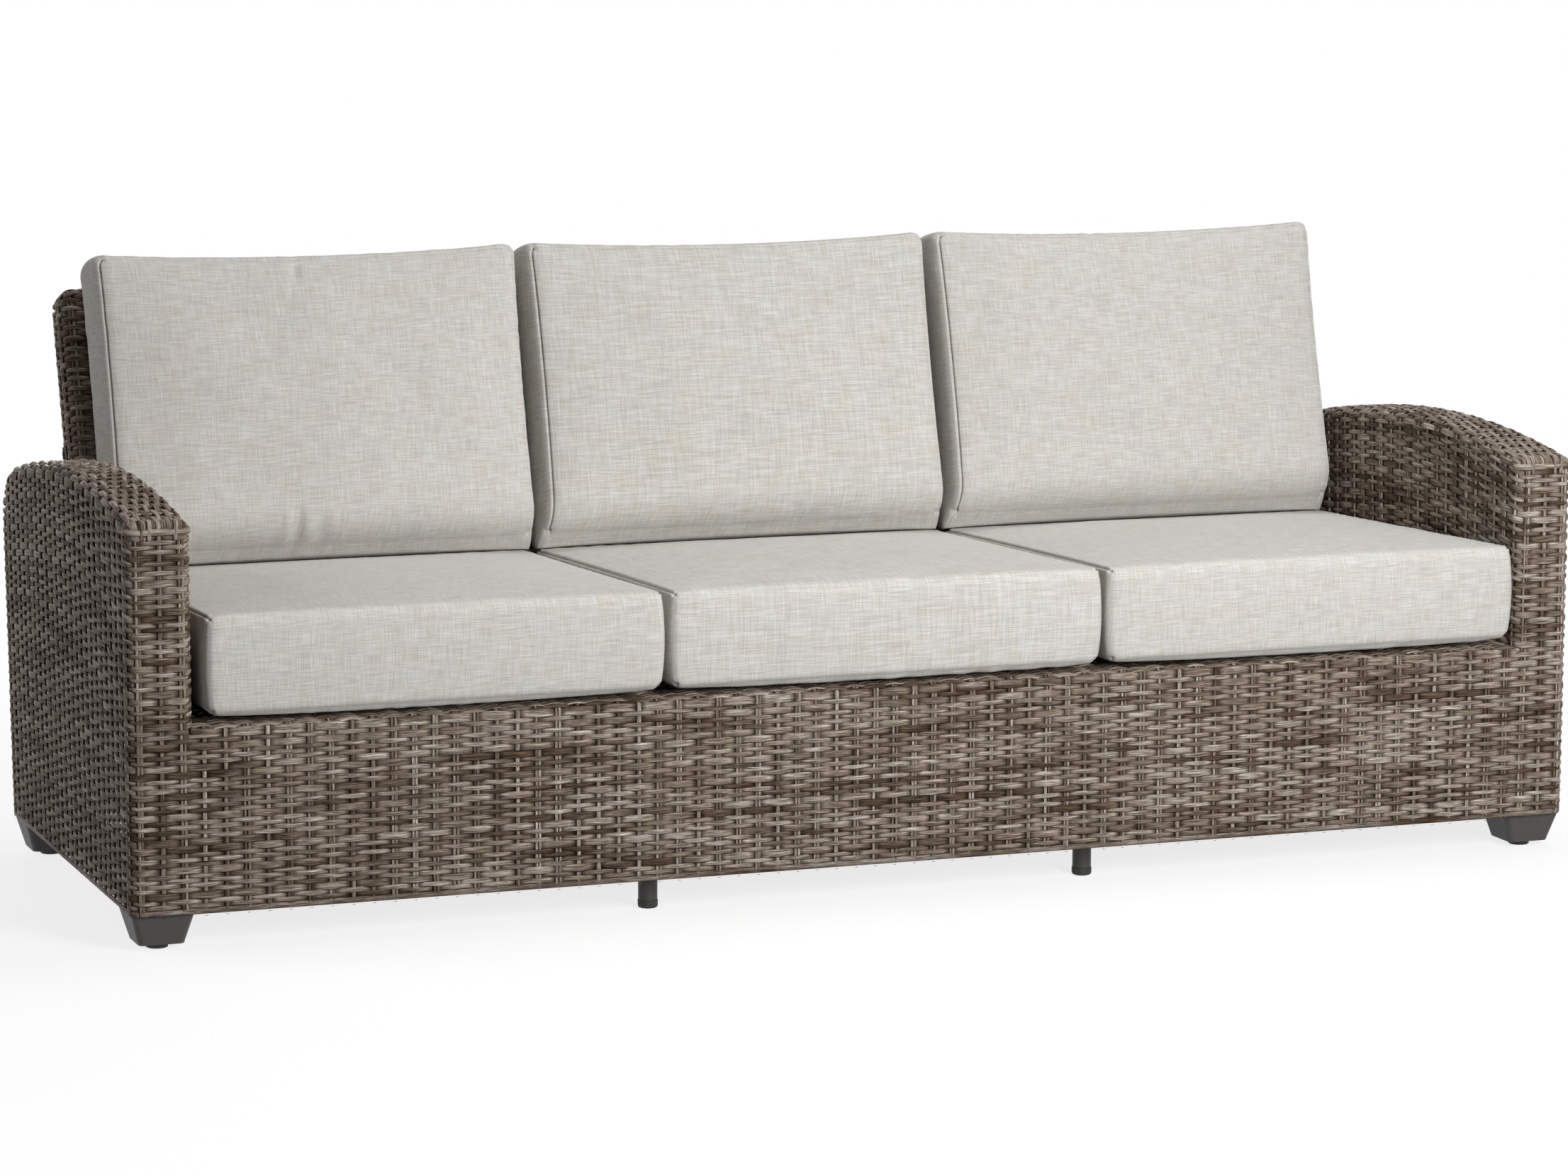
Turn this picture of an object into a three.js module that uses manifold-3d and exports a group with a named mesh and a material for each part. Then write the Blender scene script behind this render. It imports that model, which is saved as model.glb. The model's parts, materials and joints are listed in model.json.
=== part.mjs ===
// Rattan garden sofa: a three-seat woven resin sofa on a powder-coated tube frame, with loose cushions.
// Millimetres, +Z up. The sofa faces -Y, and +X is to its right as seen from the front.
// Depths are measured from the woven front face and heights from the floor, and the finished group is
// centred over the floor at the end.
import * as THREE from "three";
import { mergeVertices } from "three/addons/utils/BufferGeometryUtils.js";
import Module from "manifold-3d";

const wasm = await Module();
wasm.setup();

// Overall sizes
const overallWidth = 2250;
const armWidth = 92;
const skirtHeight = 53;
const deckHeight = 319;
const seatDeckDepth = 641;

// Woven skins
const weaveThickness = 5;
const armEdgeRadius = 18;
const backEdgeRadius = 18;

// Clearances
const touchGap = 0.3;
const skinGap = 0.6;
const cutOverrun = 20;

// Arms: a shallow arch over the top, a tight front corner and a wide rear corner, with a leaning rear edge.
// They reach past the seat deck to take in the foot of the back.
const armHeight = 637;
const armArchRadius = 1945;
const armArchApexDepth = 340;
const armFrontCornerRadius = 10;
const armRearCornerRadius = 90;
const armBehindDeck = 138;
const armFootprintDepth = seatDeckDepth + armBehindDeck;
const armRearLean = THREE.MathUtils.degToRad(5.1);

// Back: a raked slab that stands on the rear seat rail, and an upright rear panel below it
const backHeight = 856;
const backRake = THREE.MathUtils.degToRad(18.2);
const backThickness = 62;
const backTopCornerRadius = 30;
const rearPanelInset = 25;

// Frame tube
const tubeSize = 25;
const tubeWall = 1.8;
const tubeCornerRadius = 4;
const ovalCornerRadius = 12.4;
const baseRailLift = 2;
const rearRailDepth = 50;

// Feet and levellers
const footSize = 90;
const footTaper = 12;
const footCornerRadius = 9;
const footSideInset = 3;
const footFrontInset = 8;
const footRearInset = 1;
const padRadius = 16;
const padHeight = 9;
const padChamfer = 1;
const studRadius = 4;
const studLength = 32;
const studBoreClearance = 0.6;

// Support legs under the middle of the seat
const supportLegRadius = 14.2;
const supportLegWall = 1.5;
const frontLegDepth = 66;
const rearLegDepth = 600;
const capHeight = 12;
const capRadius = 15;
const capEdgeRadius = 4;

// Seat cushions share the width between the arms
const seatCushionGap = 14;
const seatCushionArmGap = 17;
const seatCushionOverhang = 14;
const seatCushionRearGap = 7;
const seatSeamLow = 340;
const seatSeamHigh = 475.5;
const seatCrown = 13;
const seatRearDrop = 30;
const seatCornerRadius = 20;
const seatPullIn = 4;
const seatSideSwell = 2.5;

// Back cushions share it too, lean on the back and stand on the seat cushions
const backCushionGap = 15;
const backCushionArmGap = 25;
const backCushionHeight = 468;
const backCushionThickness = 120;
const backCushionRake = THREE.MathUtils.degToRad(15.2);
const backCushionRearGap = 8;
const backCushionSink = 10;
const backCrown = 32;
const backCornerRadius = 10;
const backPullIn = 12;
const backSideSwell = 4;
const cushionGap = 0.5;

// Facet counts
const archFacets = 12;
const cornerFacets = 3;
const tubeCornerFacets = 1;
const footCornerFacets = 2;
const roundFacets = 12;
const cushionFacetsWide = 12;
const cushionFacetsDeep = 10;
const cushionFacetsTall = 2;

// Shares of a cushion's half size
const crownFullnessShare = 0.55;
const sideFullnessShare = 0.8;

const powderCoat = { color: 0x4a443f, roughness: 0.55, metalness: 0.35 };
const footCoat = { color: 0x615e5c, roughness: 0.5, metalness: 0.3 };
const legCoat = { color: 0x262422, roughness: 0.5, metalness: 0.3 };
const blackNylon = { color: 0x1b1a19, roughness: 0.6, metalness: 0 };
const platedSteel = { color: 0xa8a8a4, roughness: 0.35, metalness: 1 };
const resinWicker = { color: 0x6b6158, roughness: 0.5, metalness: 0 };
const linenFabric = { color: 0xcfccc6, roughness: 0.95, metalness: 0 };

const sofa = new THREE.Group();
const halfWidth = overallWidth / 2;
const armInnerFace = halfWidth - armWidth;
const sides = { left: -1, right: 1 };
const seats = { left: -1, middle: 0, right: 1 };
const seatTubePitch = armInnerFace / 3;

function addPiece(name, geometry, finish) {
  const piece = new THREE.Mesh(geometry, new THREE.MeshStandardMaterial(finish));
  piece.name = name;
  sofa.add(piece);
  return piece;
}

// A closed geometry as a solid that can be cut and joined.
function solidFrom(geometry) {
  const bare = geometry.clone();
  bare.deleteAttribute("normal");
  bare.deleteAttribute("uv");
  const merged = mergeVertices(bare);
  return new wasm.Manifold(new wasm.Mesh({
    numProp: 3,
    vertProperties: new Float32Array(merged.attributes.position.array),
    triVerts: new Uint32Array(merged.index.array),
  }));
}

function geometryFrom(solid) {
  const mesh = solid.getMesh();
  const geometry = new THREE.BufferGeometry();
  geometry.setAttribute("position", new THREE.BufferAttribute(new Float32Array(mesh.vertProperties), 3));
  geometry.setIndex(new THREE.BufferAttribute(new Uint32Array(mesh.triVerts), 1));
  geometry.computeVertexNormals();
  return geometry;
}

// An axis-aligned block between two corners.
function block([x0, x1], [y0, y1], [z0, z1]) {
  const geometry = new THREE.BoxGeometry(x1 - x0, y1 - y0, z1 - z0);
  return geometry.translate((x0 + x1) / 2, (y0 + y1) / 2, (z0 + z1) / 2);
}

// Turns a geometry's own axes to three directions, and moves its origin.
function oriented(geometry, origin, xDirection, yDirection) {
  const zDirection = new THREE.Vector3().crossVectors(xDirection, yDirection);
  const matrix = new THREE.Matrix4().makeBasis(xDirection, yDirection, zDirection);
  return geometry.applyMatrix4(matrix.setPosition(origin));
}

const alongX = new THREE.Vector3(1, 0, 0);
const alongY = new THREE.Vector3(0, 1, 0);
const alongZ = new THREE.Vector3(0, 0, 1);

// A side profile of [depth, height] points, carried across the sofa from x0 to x1.
function acrossWidth(profile, x0, x1) {
  const shape = new THREE.Shape(profile.map(([y, z]) => new THREE.Vector2(y, z)));
  const geometry = new THREE.ExtrudeGeometry(shape, { depth: x1 - x0, bevelEnabled: false });
  return oriented(geometry, new THREE.Vector3(x0, 0, 0), alongY, alongZ);
}

// A solid carried across the sofa from x0 to x1, whose side profile is outlineAt(inset). Its two long
// edges are rounded by letting the inset shrink from the radius to nothing.
function softEdged(outlineAt, x0, x1, radius) {
  const turns = Array.from({ length: cornerFacets + 1 }, (_, i) => (i / cornerFacets) * (Math.PI / 2));
  const rings = [
    ...turns.map((turn) => [x0 + radius * (1 - Math.cos(turn)), radius * (1 - Math.sin(turn))]),
    ...turns.map((turn) => [x1 - radius * (1 - Math.cos(turn)), radius * (1 - Math.sin(turn))]).reverse(),
  ].map(([x, inset]) => outlineAt(inset).reverse().map(([y, z]) => [x, y, z]));
  const count = rings[0].length;
  const index = [];
  for (let ring = 0; ring + 1 < rings.length; ring += 1) {
    for (let i = 0; i < count; i += 1) {
      const next = (i + 1) % count;
      const low = ring * count;
      const high = low + count;
      index.push(low + i, low + next, high + next, low + i, high + next, high + i);
    }
  }
  const last = (rings.length - 1) * count;
  for (const [end, ring] of [[0, rings[0]], [last, rings[rings.length - 1]]]) {
    const contour = ring.map(([, y, z]) => new THREE.Vector2(y, z));
    for (const [a, b, c] of THREE.ShapeUtils.triangulateShape(contour, [])) {
      index.push(...(end > 0 ? [end + a, end + b, end + c] : [c, b, a]));
    }
  }
  const geometry = new THREE.BufferGeometry();
  geometry.setAttribute("position", new THREE.Float32BufferAttribute(rings.flat(2), 3));
  return geometry.setIndex(index);
}

// A rectangle with round corners, added to a shape or a hole.
function roundedOutline(path, width, height, corner) {
  const x = width / 2;
  const y = height / 2;
  path.moveTo(x, y - corner);
  path.absarc(x - corner, y - corner, corner, 0, Math.PI / 2);
  path.absarc(-x + corner, y - corner, corner, Math.PI / 2, Math.PI);
  path.absarc(-x + corner, -y + corner, corner, Math.PI, 1.5 * Math.PI);
  path.absarc(x - corner, -y + corner, corner, 1.5 * Math.PI, 2 * Math.PI);
  return path;
}

// A hollow rectangular tube with eased corners, centred on its own +Z axis.
function tube(width, height, length, corner = tubeCornerRadius) {
  const curveSegments = corner > tubeCornerRadius ? cornerFacets : tubeCornerFacets;
  const section = roundedOutline(new THREE.Shape(), width, height, corner);
  const [boreWidth, boreHeight] = [width - 2 * tubeWall, height - 2 * tubeWall];
  section.holes.push(roundedOutline(new THREE.Path(), boreWidth, boreHeight, corner - tubeWall));
  return new THREE.ExtrudeGeometry(section, { depth: length, bevelEnabled: false, curveSegments });
}

// A tube whose low corner, size along each axis and direction of run are given.
function railAlongX(x0, x1, y0, z0, depth = tubeSize, corner = tubeCornerRadius) {
  const origin = new THREE.Vector3(x0, y0 + depth / 2, z0 + tubeSize / 2);
  return oriented(tube(depth, tubeSize, x1 - x0, corner), origin, alongY, alongZ);
}

function railAlongY(y0, y1, x0, z0, width = tubeSize, corner = tubeCornerRadius) {
  const origin = new THREE.Vector3(x0 + width / 2, y0, z0 + tubeSize / 2);
  return oriented(tube(tubeSize, width, y1 - y0, corner), origin, alongZ, alongX);
}

// Arm outline: an arch over a straight front edge and a leaning rear edge
const archCentre = new THREE.Vector2(armArchApexDepth, armHeight - armArchRadius);
const rearEdgeRun = new THREE.Vector2(Math.sin(armRearLean), Math.cos(armRearLean));
const rearEdgeOut = new THREE.Vector2(Math.cos(armRearLean), -Math.sin(armRearLean));

// The centre of a fillet between the arch and a straight edge that runs up to it.
function filletCentre(edgePoint, run, out, radius, archRadius) {
  const start = edgePoint.clone().addScaledVector(out, -radius).sub(archCentre);
  const along = start.dot(run);
  const reach = archRadius - radius;
  const travel = -along + Math.sqrt(along * along - start.lengthSq() + reach * reach);
  return start.addScaledVector(run, travel).add(archCentre);
}

function arcPoints(centre, radius, from, to, facets) {
  return Array.from({ length: facets + 1 }, (_, i) => {
    const angle = from + ((to - from) * i) / facets;
    return [centre.x + radius * Math.cos(angle), centre.y + radius * Math.sin(angle)];
  });
}

function rearEdgeDepth(inset, height) {
  const straight = armFootprintDepth - inset / Math.cos(armRearLean);
  return straight + (height - skirtHeight) * Math.tan(armRearLean);
}

// The side profile of an arm, set in by a given amount, down to a given height.
function armOutline(inset, bottom) {
  const archRadius = armArchRadius - inset;
  const frontRadius = Math.max(armFrontCornerRadius - inset, touchGap);
  const rearRadius = Math.max(armRearCornerRadius - inset, touchGap);
  const frontEdge = new THREE.Vector2(inset, 0);
  const frontOut = new THREE.Vector2(-1, 0);
  const frontCentre = filletCentre(frontEdge, new THREE.Vector2(0, 1), frontOut, frontRadius, archRadius);
  const rearEdge = new THREE.Vector2(armFootprintDepth, skirtHeight).addScaledVector(rearEdgeOut, -inset);
  const rearCentre = filletCentre(rearEdge, rearEdgeRun, rearEdgeOut, rearRadius, archRadius);
  const frontAngle = frontCentre.clone().sub(archCentre).angle();
  const rearAngle = rearCentre.clone().sub(archCentre).angle();
  return [
    [inset, bottom],
    ...arcPoints(frontCentre, frontRadius, Math.PI, frontAngle, cornerFacets),
    ...arcPoints(archCentre, archRadius, frontAngle, rearAngle, archFacets).slice(1, -1),
    ...arcPoints(rearCentre, rearRadius, rearAngle, -armRearLean, 2 * cornerFacets),
    [rearEdgeDepth(inset, bottom), bottom],
  ];
}

// Where the arm's rear corner starts to turn, as a height.
function rearCornerHeight() {
  const rearEdge = new THREE.Vector2(armFootprintDepth, skirtHeight);
  const centre = filletCentre(rearEdge, rearEdgeRun, rearEdgeOut, armRearCornerRadius, armArchRadius);
  return centre.y;
}

// Frame heights and depths that several pieces share
const frameInset = weaveThickness + skinGap;
const deckUnderside = deckHeight - weaveThickness;
const railTop = deckUnderside - touchGap;
const railBottom = railTop - tubeSize;
const baseRailBottom = skirtHeight + baseRailLift;
const baseRailTop = baseRailBottom + tubeSize;
const frontTubeDepth = frameInset;
const frontTubeRear = frontTubeDepth + tubeSize;
const railEnd = armInnerFace + frameInset - touchGap;
const rearRailFront = seatDeckDepth + frameInset - weaveThickness;
const rearPanelFoot = armFootprintDepth - rearPanelInset;
const leanSlope = Math.tan(armRearLean);

// Woven skin of one arm: open below, and open towards the seat under the deck
function armSkin(side) {
  const inner = armInnerFace;
  const hem = skirtHeight - cutOverrun;
  const cavityRadius = armEdgeRadius - weaveThickness;
  const shell = softEdged((inset) => armOutline(inset, hem), inner, halfWidth, armEdgeRadius);
  const cavity = softEdged(
    (inset) => armOutline(weaveThickness + inset, hem - cutOverrun),
    inner + weaveThickness, halfWidth - weaveThickness, cavityRadius);
  const frontCorner = block([inner, inner + armEdgeRadius], [0, armEdgeRadius], [skirtHeight, deckHeight]);
  const belowHem = block(
    [inner - cutOverrun, halfWidth + cutOverrun],
    [-cutOverrun, armFootprintDepth + cutOverrun],
    [hem - 2 * cutOverrun, skirtHeight]);
  const seatSide = block(
    [inner - cutOverrun, inner + armEdgeRadius],
    [weaveThickness, rearPanelFoot - weaveThickness],
    [hem, deckHeight + touchGap]);
  const skin = solidFrom(shell)
    .add(solidFrom(frontCorner))
    .subtract(solidFrom(cavity))
    .subtract(solidFrom(belowHem))
    .subtract(solidFrom(seatSide));
  return mirrored(geometryFrom(skin), side);
}

// The same geometry for the right side, or mirrored for the left.
function mirrored(geometry, side) {
  if (side > 0) return geometry;
  const bare = geometry.clone().deleteAttribute("normal").deleteAttribute("uv");
  const flipped = mergeVertices(bare).scale(-1, 1, 1);
  const corners = Array.from(flipped.index.array);
  flipped.setIndex(corners.reverse());
  flipped.computeVertexNormals();
  return flipped;
}

// Height of the arch at a depth, set in by a given amount.
function archHeight(inset, depth) {
  const reach = depth - archCentre.x;
  return archCentre.y + Math.sqrt((armArchRadius - inset) ** 2 - reach ** 2);
}

// Arm hoop: a flat-oval tube that follows the arm's outline, open at both feet
function armHoop() {
  const foot = skirtHeight - cutOverrun;
  const x0 = armInnerFace + frameInset;
  const x1 = halfWidth - frameInset;
  const band = (outerInset, innerInset, start, end, corner, low) => {
    const outer = softEdged((inset) => armOutline(outerInset + inset, low), start, end, corner);
    const inner = acrossWidth(armOutline(innerInset, low - cutOverrun), start - cutOverrun, end + cutOverrun);
    return solidFrom(outer).subtract(solidFrom(inner));
  };
  const outside = band(frameInset, frameInset + tubeSize, x0, x1, ovalCornerRadius, foot);
  const inside = band(
    frameInset + tubeWall, frameInset + tubeSize - tubeWall, x0 + tubeWall, x1 - tubeWall,
    ovalCornerRadius - tubeWall, foot - cutOverrun);
  return outside.subtract(inside);
}

function addArm(sideName) {
  const side = sides[sideName];
  const hoop = armHoop();
  const across = [armInnerFace, halfWidth];
  const rear = armFootprintDepth + armRearCornerRadius;
  const frontJoin = archHeight(frameInset + tubeSize, frontTubeRear) - weaveThickness;
  const rearJoin = rearCornerHeight();
  const window = (depths, heights) => solidFrom(block(across, depths, heights));
  const frontPost = hoop.intersect(window([0, armArchApexDepth], [skirtHeight, frontJoin]));
  const rearPost = hoop.intersect(window([armArchApexDepth, rear], [skirtHeight, rearJoin]));
  const topRail = hoop
    .intersect(window([0, rear], [skirtHeight, armHeight]))
    .subtract(window([-cutOverrun, armArchApexDepth], [0, frontJoin + touchGap]))
    .subtract(window([armArchApexDepth, rear], [0, rearJoin + touchGap]));
  addPiece(`arm_front_post_${sideName}`, mirrored(geometryFrom(frontPost), side), powderCoat);
  addPiece(`arm_rear_post_${sideName}`, mirrored(geometryFrom(rearPost), side), powderCoat);
  addPiece(`arm_top_rail_${sideName}`, mirrored(geometryFrom(topRail), side), powderCoat);

  const railWidth = armWidth - 2 * frameInset;
  const railX = armInnerFace + frameInset;
  for (const [name, low] of [["arm_bottom_rail", skirtHeight], ["arm_seat_rail", railBottom]]) {
    const railRear = rearEdgeDepth(frameInset + tubeSize, low) - touchGap;
    const rail = railAlongY(frontTubeRear + touchGap, railRear, railX, low, railWidth, ovalCornerRadius);
    addPiece(`${name}_${sideName}`, mirrored(rail, side), powderCoat);
  }
  addPiece(`arm_weave_${sideName}`, armSkin(side), resinWicker);
}

// Feet: a tapered block under each end of an arm, with a levelling glide screwed into it
function roundedSquare(size, corner) {
  const shape = roundedOutline(new THREE.Shape(), size, size, corner);
  return shape.extractPoints(footCornerFacets).shape;
}

function taperedBlock(lowSize, highSize, low, high) {
  const rings = [[lowSize, low], [highSize, high]].map(([size, z]) =>
    roundedSquare(size, footCornerRadius).slice(0, -1).map((p) => [p.x, p.y, z]));
  const count = rings[0].length;
  const positions = [...rings[0], ...rings[1], [0, 0, low], [0, 0, high]].flat();
  const index = [];
  for (let i = 0; i < count; i += 1) {
    const next = (i + 1) % count;
    index.push(i, next, count + next, i, count + next, count + i);
    index.push(next, i, 2 * count, count + i, count + next, 2 * count + 1);
  }
  const geometry = new THREE.BufferGeometry();
  geometry.setAttribute("position", new THREE.Float32BufferAttribute(positions, 3));
  geometry.setIndex(index);
  return geometry;
}

function upright(radius, low, high) {
  const geometry = new THREE.CylinderGeometry(radius, radius, high - low, roundFacets);
  return geometry.rotateX(Math.PI / 2).translate(0, 0, (low + high) / 2);
}

function addFoot(name, x, y) {
  const low = padHeight + touchGap;
  const high = skirtHeight - touchGap;
  const bore = upright(studRadius + studBoreClearance, low - cutOverrun, padHeight + studLength + touchGap);
  const foot = solidFrom(taperedBlock(footSize - 2 * footTaper, footSize, low, high));
  const bored = geometryFrom(foot.subtract(solidFrom(bore)));
  addPiece(`foot_${name}`, bored.translate(x, y, 0), footCoat);

  const padProfile = [
    [0, 0], [padRadius - padChamfer, 0], [padRadius, padChamfer],
    [padRadius, padHeight - padChamfer], [padRadius - padChamfer, padHeight], [0, padHeight],
  ].map(([r, z]) => new THREE.Vector2(r, z));
  const pad = new THREE.LatheGeometry(padProfile, roundFacets).rotateX(Math.PI / 2);
  addPiece(`leveller_pad_${name}`, pad.translate(x, y, 0), blackNylon);
  const stud = upright(studRadius, padHeight + touchGap, padHeight + studLength);
  addPiece(`leveller_stud_${name}`, stud.translate(x, y, 0), platedSteel);
}

// Seat frame: two rails at deck height, two at the hem, and five tubes from front to back
function addSeatFrame() {
  const across = (name, y, z, depth = tubeSize) =>
    addPiece(name, railAlongX(-railEnd, railEnd, y, z, depth), powderCoat);
  across("seat_front_rail", frontTubeDepth, railBottom);
  across("seat_rear_rail", rearRailFront, railBottom, rearRailDepth);
  across("base_front_rail", frontTubeDepth, baseRailBottom);
  across("base_rear_rail", rearPanelFoot - frameInset - tubeSize, baseRailBottom);
  const places = {
    seat_slat_left: -2 * seatTubePitch,
    seat_bearer_left: -seatTubePitch,
    seat_slat_middle: 0,
    seat_bearer_right: seatTubePitch,
    seat_slat_right: 2 * seatTubePitch,
  };
  for (const [name, x] of Object.entries(places)) {
    const rail = railAlongY(frontTubeRear + touchGap, rearRailFront - touchGap, x - tubeSize / 2, railBottom);
    addPiece(name, rail, powderCoat);
  }
}

// Support legs: a round tube under each end of a bearer, closed by a rounded cap
function addSupportLeg(name, x, y) {
  const profile = [
    new THREE.Vector2(0, 0),
    ...Array.from({ length: cornerFacets + 1 }, (_, i) => {
      const angle = (i / cornerFacets) * (Math.PI / 2);
      return new THREE.Vector2(
        capRadius - capEdgeRadius * (1 - Math.sin(angle)),
        capEdgeRadius * (1 - Math.cos(angle)));
    }),
    new THREE.Vector2(capRadius, capHeight),
    new THREE.Vector2(0, capHeight),
  ];
  const cap = new THREE.LatheGeometry(profile, roundFacets).rotateX(Math.PI / 2);
  addPiece(`support_cap_${name}`, cap.translate(x, y, 0), blackNylon);
  const low = capHeight + touchGap;
  const high = railBottom - touchGap;
  const section = new THREE.Shape().absarc(0, 0, supportLegRadius, 0, 2 * Math.PI);
  section.holes.push(new THREE.Path().absarc(0, 0, supportLegRadius - supportLegWall, 0, 2 * Math.PI));
  const leg = new THREE.ExtrudeGeometry(section, {
    depth: high - low, bevelEnabled: false, curveSegments: roundFacets,
  });
  addPiece(`support_leg_${name}`, leg.translate(x, y, low), legCoat);
}

// Woven front panel: upright to the deck, with a rounded top edge and a short lip that turns back
function addFrontWeave() {
  const radius = weaveThickness + touchGap + tubeCornerRadius;
  const lipEnd = frontTubeRear;
  const turn = new THREE.Vector2(radius, deckHeight - radius);
  const outer = arcPoints(turn, radius, Math.PI, Math.PI / 2, cornerFacets);
  const inner = arcPoints(turn, radius - weaveThickness, Math.PI / 2, Math.PI, cornerFacets);
  const profile = [
    [0, skirtHeight], ...outer, [lipEnd, deckHeight], [lipEnd, deckUnderside],
    ...inner, [weaveThickness, skirtHeight],
  ];
  const end = armInnerFace - touchGap;
  addPiece("front_weave", acrossWidth(profile, -end, end), resinWicker);
  const deck = block(
    [-end, end], [lipEnd + touchGap, seatDeckDepth - leanGap()], [deckUnderside, deckHeight]);
  addPiece("deck_weave", deck, resinWicker);
}

// How far the raked back comes forward at the underside of the deck, plus the gap to it.
function leanGap() {
  return weaveThickness * Math.tan(backRake) + touchGap;
}

// Back slab: its own frame runs across, up the rake and backwards through the slab
const rakeUp = new THREE.Vector3(0, Math.sin(backRake), Math.cos(backRake));
const rakeBack = new THREE.Vector3(0, Math.cos(backRake), -Math.sin(backRake));
const backFoot = new THREE.Vector3(0, seatDeckDepth, deckHeight);
const backLength = (backHeight - deckHeight) / Math.cos(backRake);

function backPoint(x, upRake, through) {
  return backFoot.clone().addScaledVector(alongX, x)
    .addScaledVector(rakeUp, upRake).addScaledVector(rakeBack, through);
}

// A block in the slab's own frame.
function rakedBlock([x0, x1], [u0, u1], [n0, n1]) {
  const geometry = new THREE.BoxGeometry(x1 - x0, u1 - u0, n1 - n0);
  const centre = backPoint((x0 + x1) / 2, (u0 + u1) / 2, (n0 + n1) / 2);
  return oriented(geometry, centre, alongX, rakeUp);
}

// The slab's outline seen from the front, extruded through it with rounded edges.
function slabSolid(inset, bottom, edgeRadius) {
  const x = armInnerFace - touchGap - inset;
  const top = backLength - inset;
  const corner = Math.max(backTopCornerRadius - inset, touchGap);
  const outline = new THREE.Shape();
  outline.moveTo(-x, bottom);
  outline.lineTo(x, bottom);
  outline.lineTo(x, top - corner);
  outline.absarc(x - corner, top - corner, corner, 0, Math.PI / 2);
  outline.absarc(-x + corner, top - corner, corner, Math.PI / 2, Math.PI);
  outline.lineTo(-x, bottom);
  const geometry = new THREE.ExtrudeGeometry(outline, {
    depth: backThickness - 2 * inset - 2 * edgeRadius,
    bevelEnabled: true,
    bevelSize: edgeRadius,
    bevelThickness: edgeRadius,
    bevelOffset: -edgeRadius,
    bevelSegments: cornerFacets,
    curveSegments: cornerFacets,
  });
  const rear = backPoint(0, 0, backThickness - inset - edgeRadius);
  return solidFrom(oriented(geometry, rear, alongX, rakeUp));
}

// Everything below a level, as a block to cut with.
function below(level) {
  const reach = overallWidth;
  return solidFrom(block([-reach, reach], [-reach, reach], [level - reach, level]));
}

// How far up the rake the slab's rear face meets the rear panel's outer face.
function rearJunction() {
  const slabRear = backPoint(0, 0, backThickness);
  const panelAtSlab = rearPanelFoot + (slabRear.z - skirtHeight) * leanSlope;
  return (panelAtSlab - slabRear.y) / (rakeUp.y - rakeUp.z * leanSlope);
}

function addBackWeave() {
  const sunk = -backThickness;
  const half = armInnerFace - touchGap - weaveThickness;
  const junction = rearJunction();
  const rearOpening = rakedBlock(
    [-half, half], [sunk - cutOverrun, junction], [backThickness / 2, backThickness + cutOverrun]);
  const slab = slabSolid(0, sunk, backEdgeRadius)
    .subtract(slabSolid(weaveThickness, sunk - cutOverrun, backEdgeRadius - weaveThickness))
    .subtract(solidFrom(rearOpening))
    .subtract(below(deckUnderside));
  addPiece("back_weave", geometryFrom(slab), resinWicker);

  const rearFace = backPoint(0, junction, backThickness);
  const top = rearFace.z - touchGap;
  const rise = (top - skirtHeight) * leanSlope;
  const profile = [
    [rearPanelFoot - weaveThickness, skirtHeight], [rearPanelFoot, skirtHeight],
    [rearPanelFoot + rise, top], [rearPanelFoot + rise - weaveThickness, top],
  ];
  const end = armInnerFace - touchGap;
  const slabReach = rakedBlock(
    [-overallWidth, overallWidth], [sunk, backLength], [-backThickness, backThickness + touchGap]);
  const panel = solidFrom(acrossWidth(profile, -end, end)).subtract(solidFrom(slabReach));
  addPiece("rear_weave", geometryFrom(panel), resinWicker);
}

// Back frame: four raked posts and a top rail inside the slab, and two posts behind the rear panel
function addBackFrame() {
  const postDepth = backThickness - 2 * frameInset;
  const railHigh = backLength - frameInset;
  const railLow = railHigh - tubeSize;
  const railHalf = armInnerFace - touchGap - weaveThickness - backTopCornerRadius;
  const topRail = oriented(
    tube(tubeSize, postDepth, 2 * railHalf, ovalCornerRadius),
    backPoint(-railHalf, railLow + tubeSize / 2, backThickness / 2),
    rakeUp, rakeBack.clone().negate());
  addPiece("back_top_rail", topRail, powderCoat);

  const places = {
    left: -railHalf + tubeSize / 2,
    middle_left: -seatTubePitch,
    middle_right: seatTubePitch,
    right: railHalf - tubeSize / 2,
  };
  for (const [name, x] of Object.entries(places)) {
    const start = -backThickness;
    const post = oriented(
      tube(tubeSize, postDepth, railLow - touchGap - start),
      backPoint(x, start, backThickness / 2),
      alongX, rakeBack);
    addPiece(`back_post_${name}`, geometryFrom(solidFrom(post).subtract(below(deckUnderside))), powderCoat);
  }

  const leanBack = new THREE.Vector3(0, rearEdgeOut.x, rearEdgeOut.y);
  for (const [name, x] of Object.entries({ left: -seatTubePitch, right: seatTubePitch })) {
    const foot = new THREE.Vector3(x, rearPanelFoot - frameInset / Math.cos(armRearLean), skirtHeight);
    const centre = foot.addScaledVector(leanBack, -tubeSize / 2);
    const post = oriented(tube(tubeSize, tubeSize, backHeight), centre, alongX, leanBack);
    const slabReach = rakedBlock(
      [-overallWidth, overallWidth], [-backHeight, backHeight],
      [-backHeight, backThickness - frameInset + touchGap]);
    const clear = solidFrom(post).subtract(solidFrom(slabReach)).subtract(below(baseRailTop + touchGap));
    addPiece(`rear_post_${name}`, geometryFrom(clear), powderCoat);
  }
}

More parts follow.
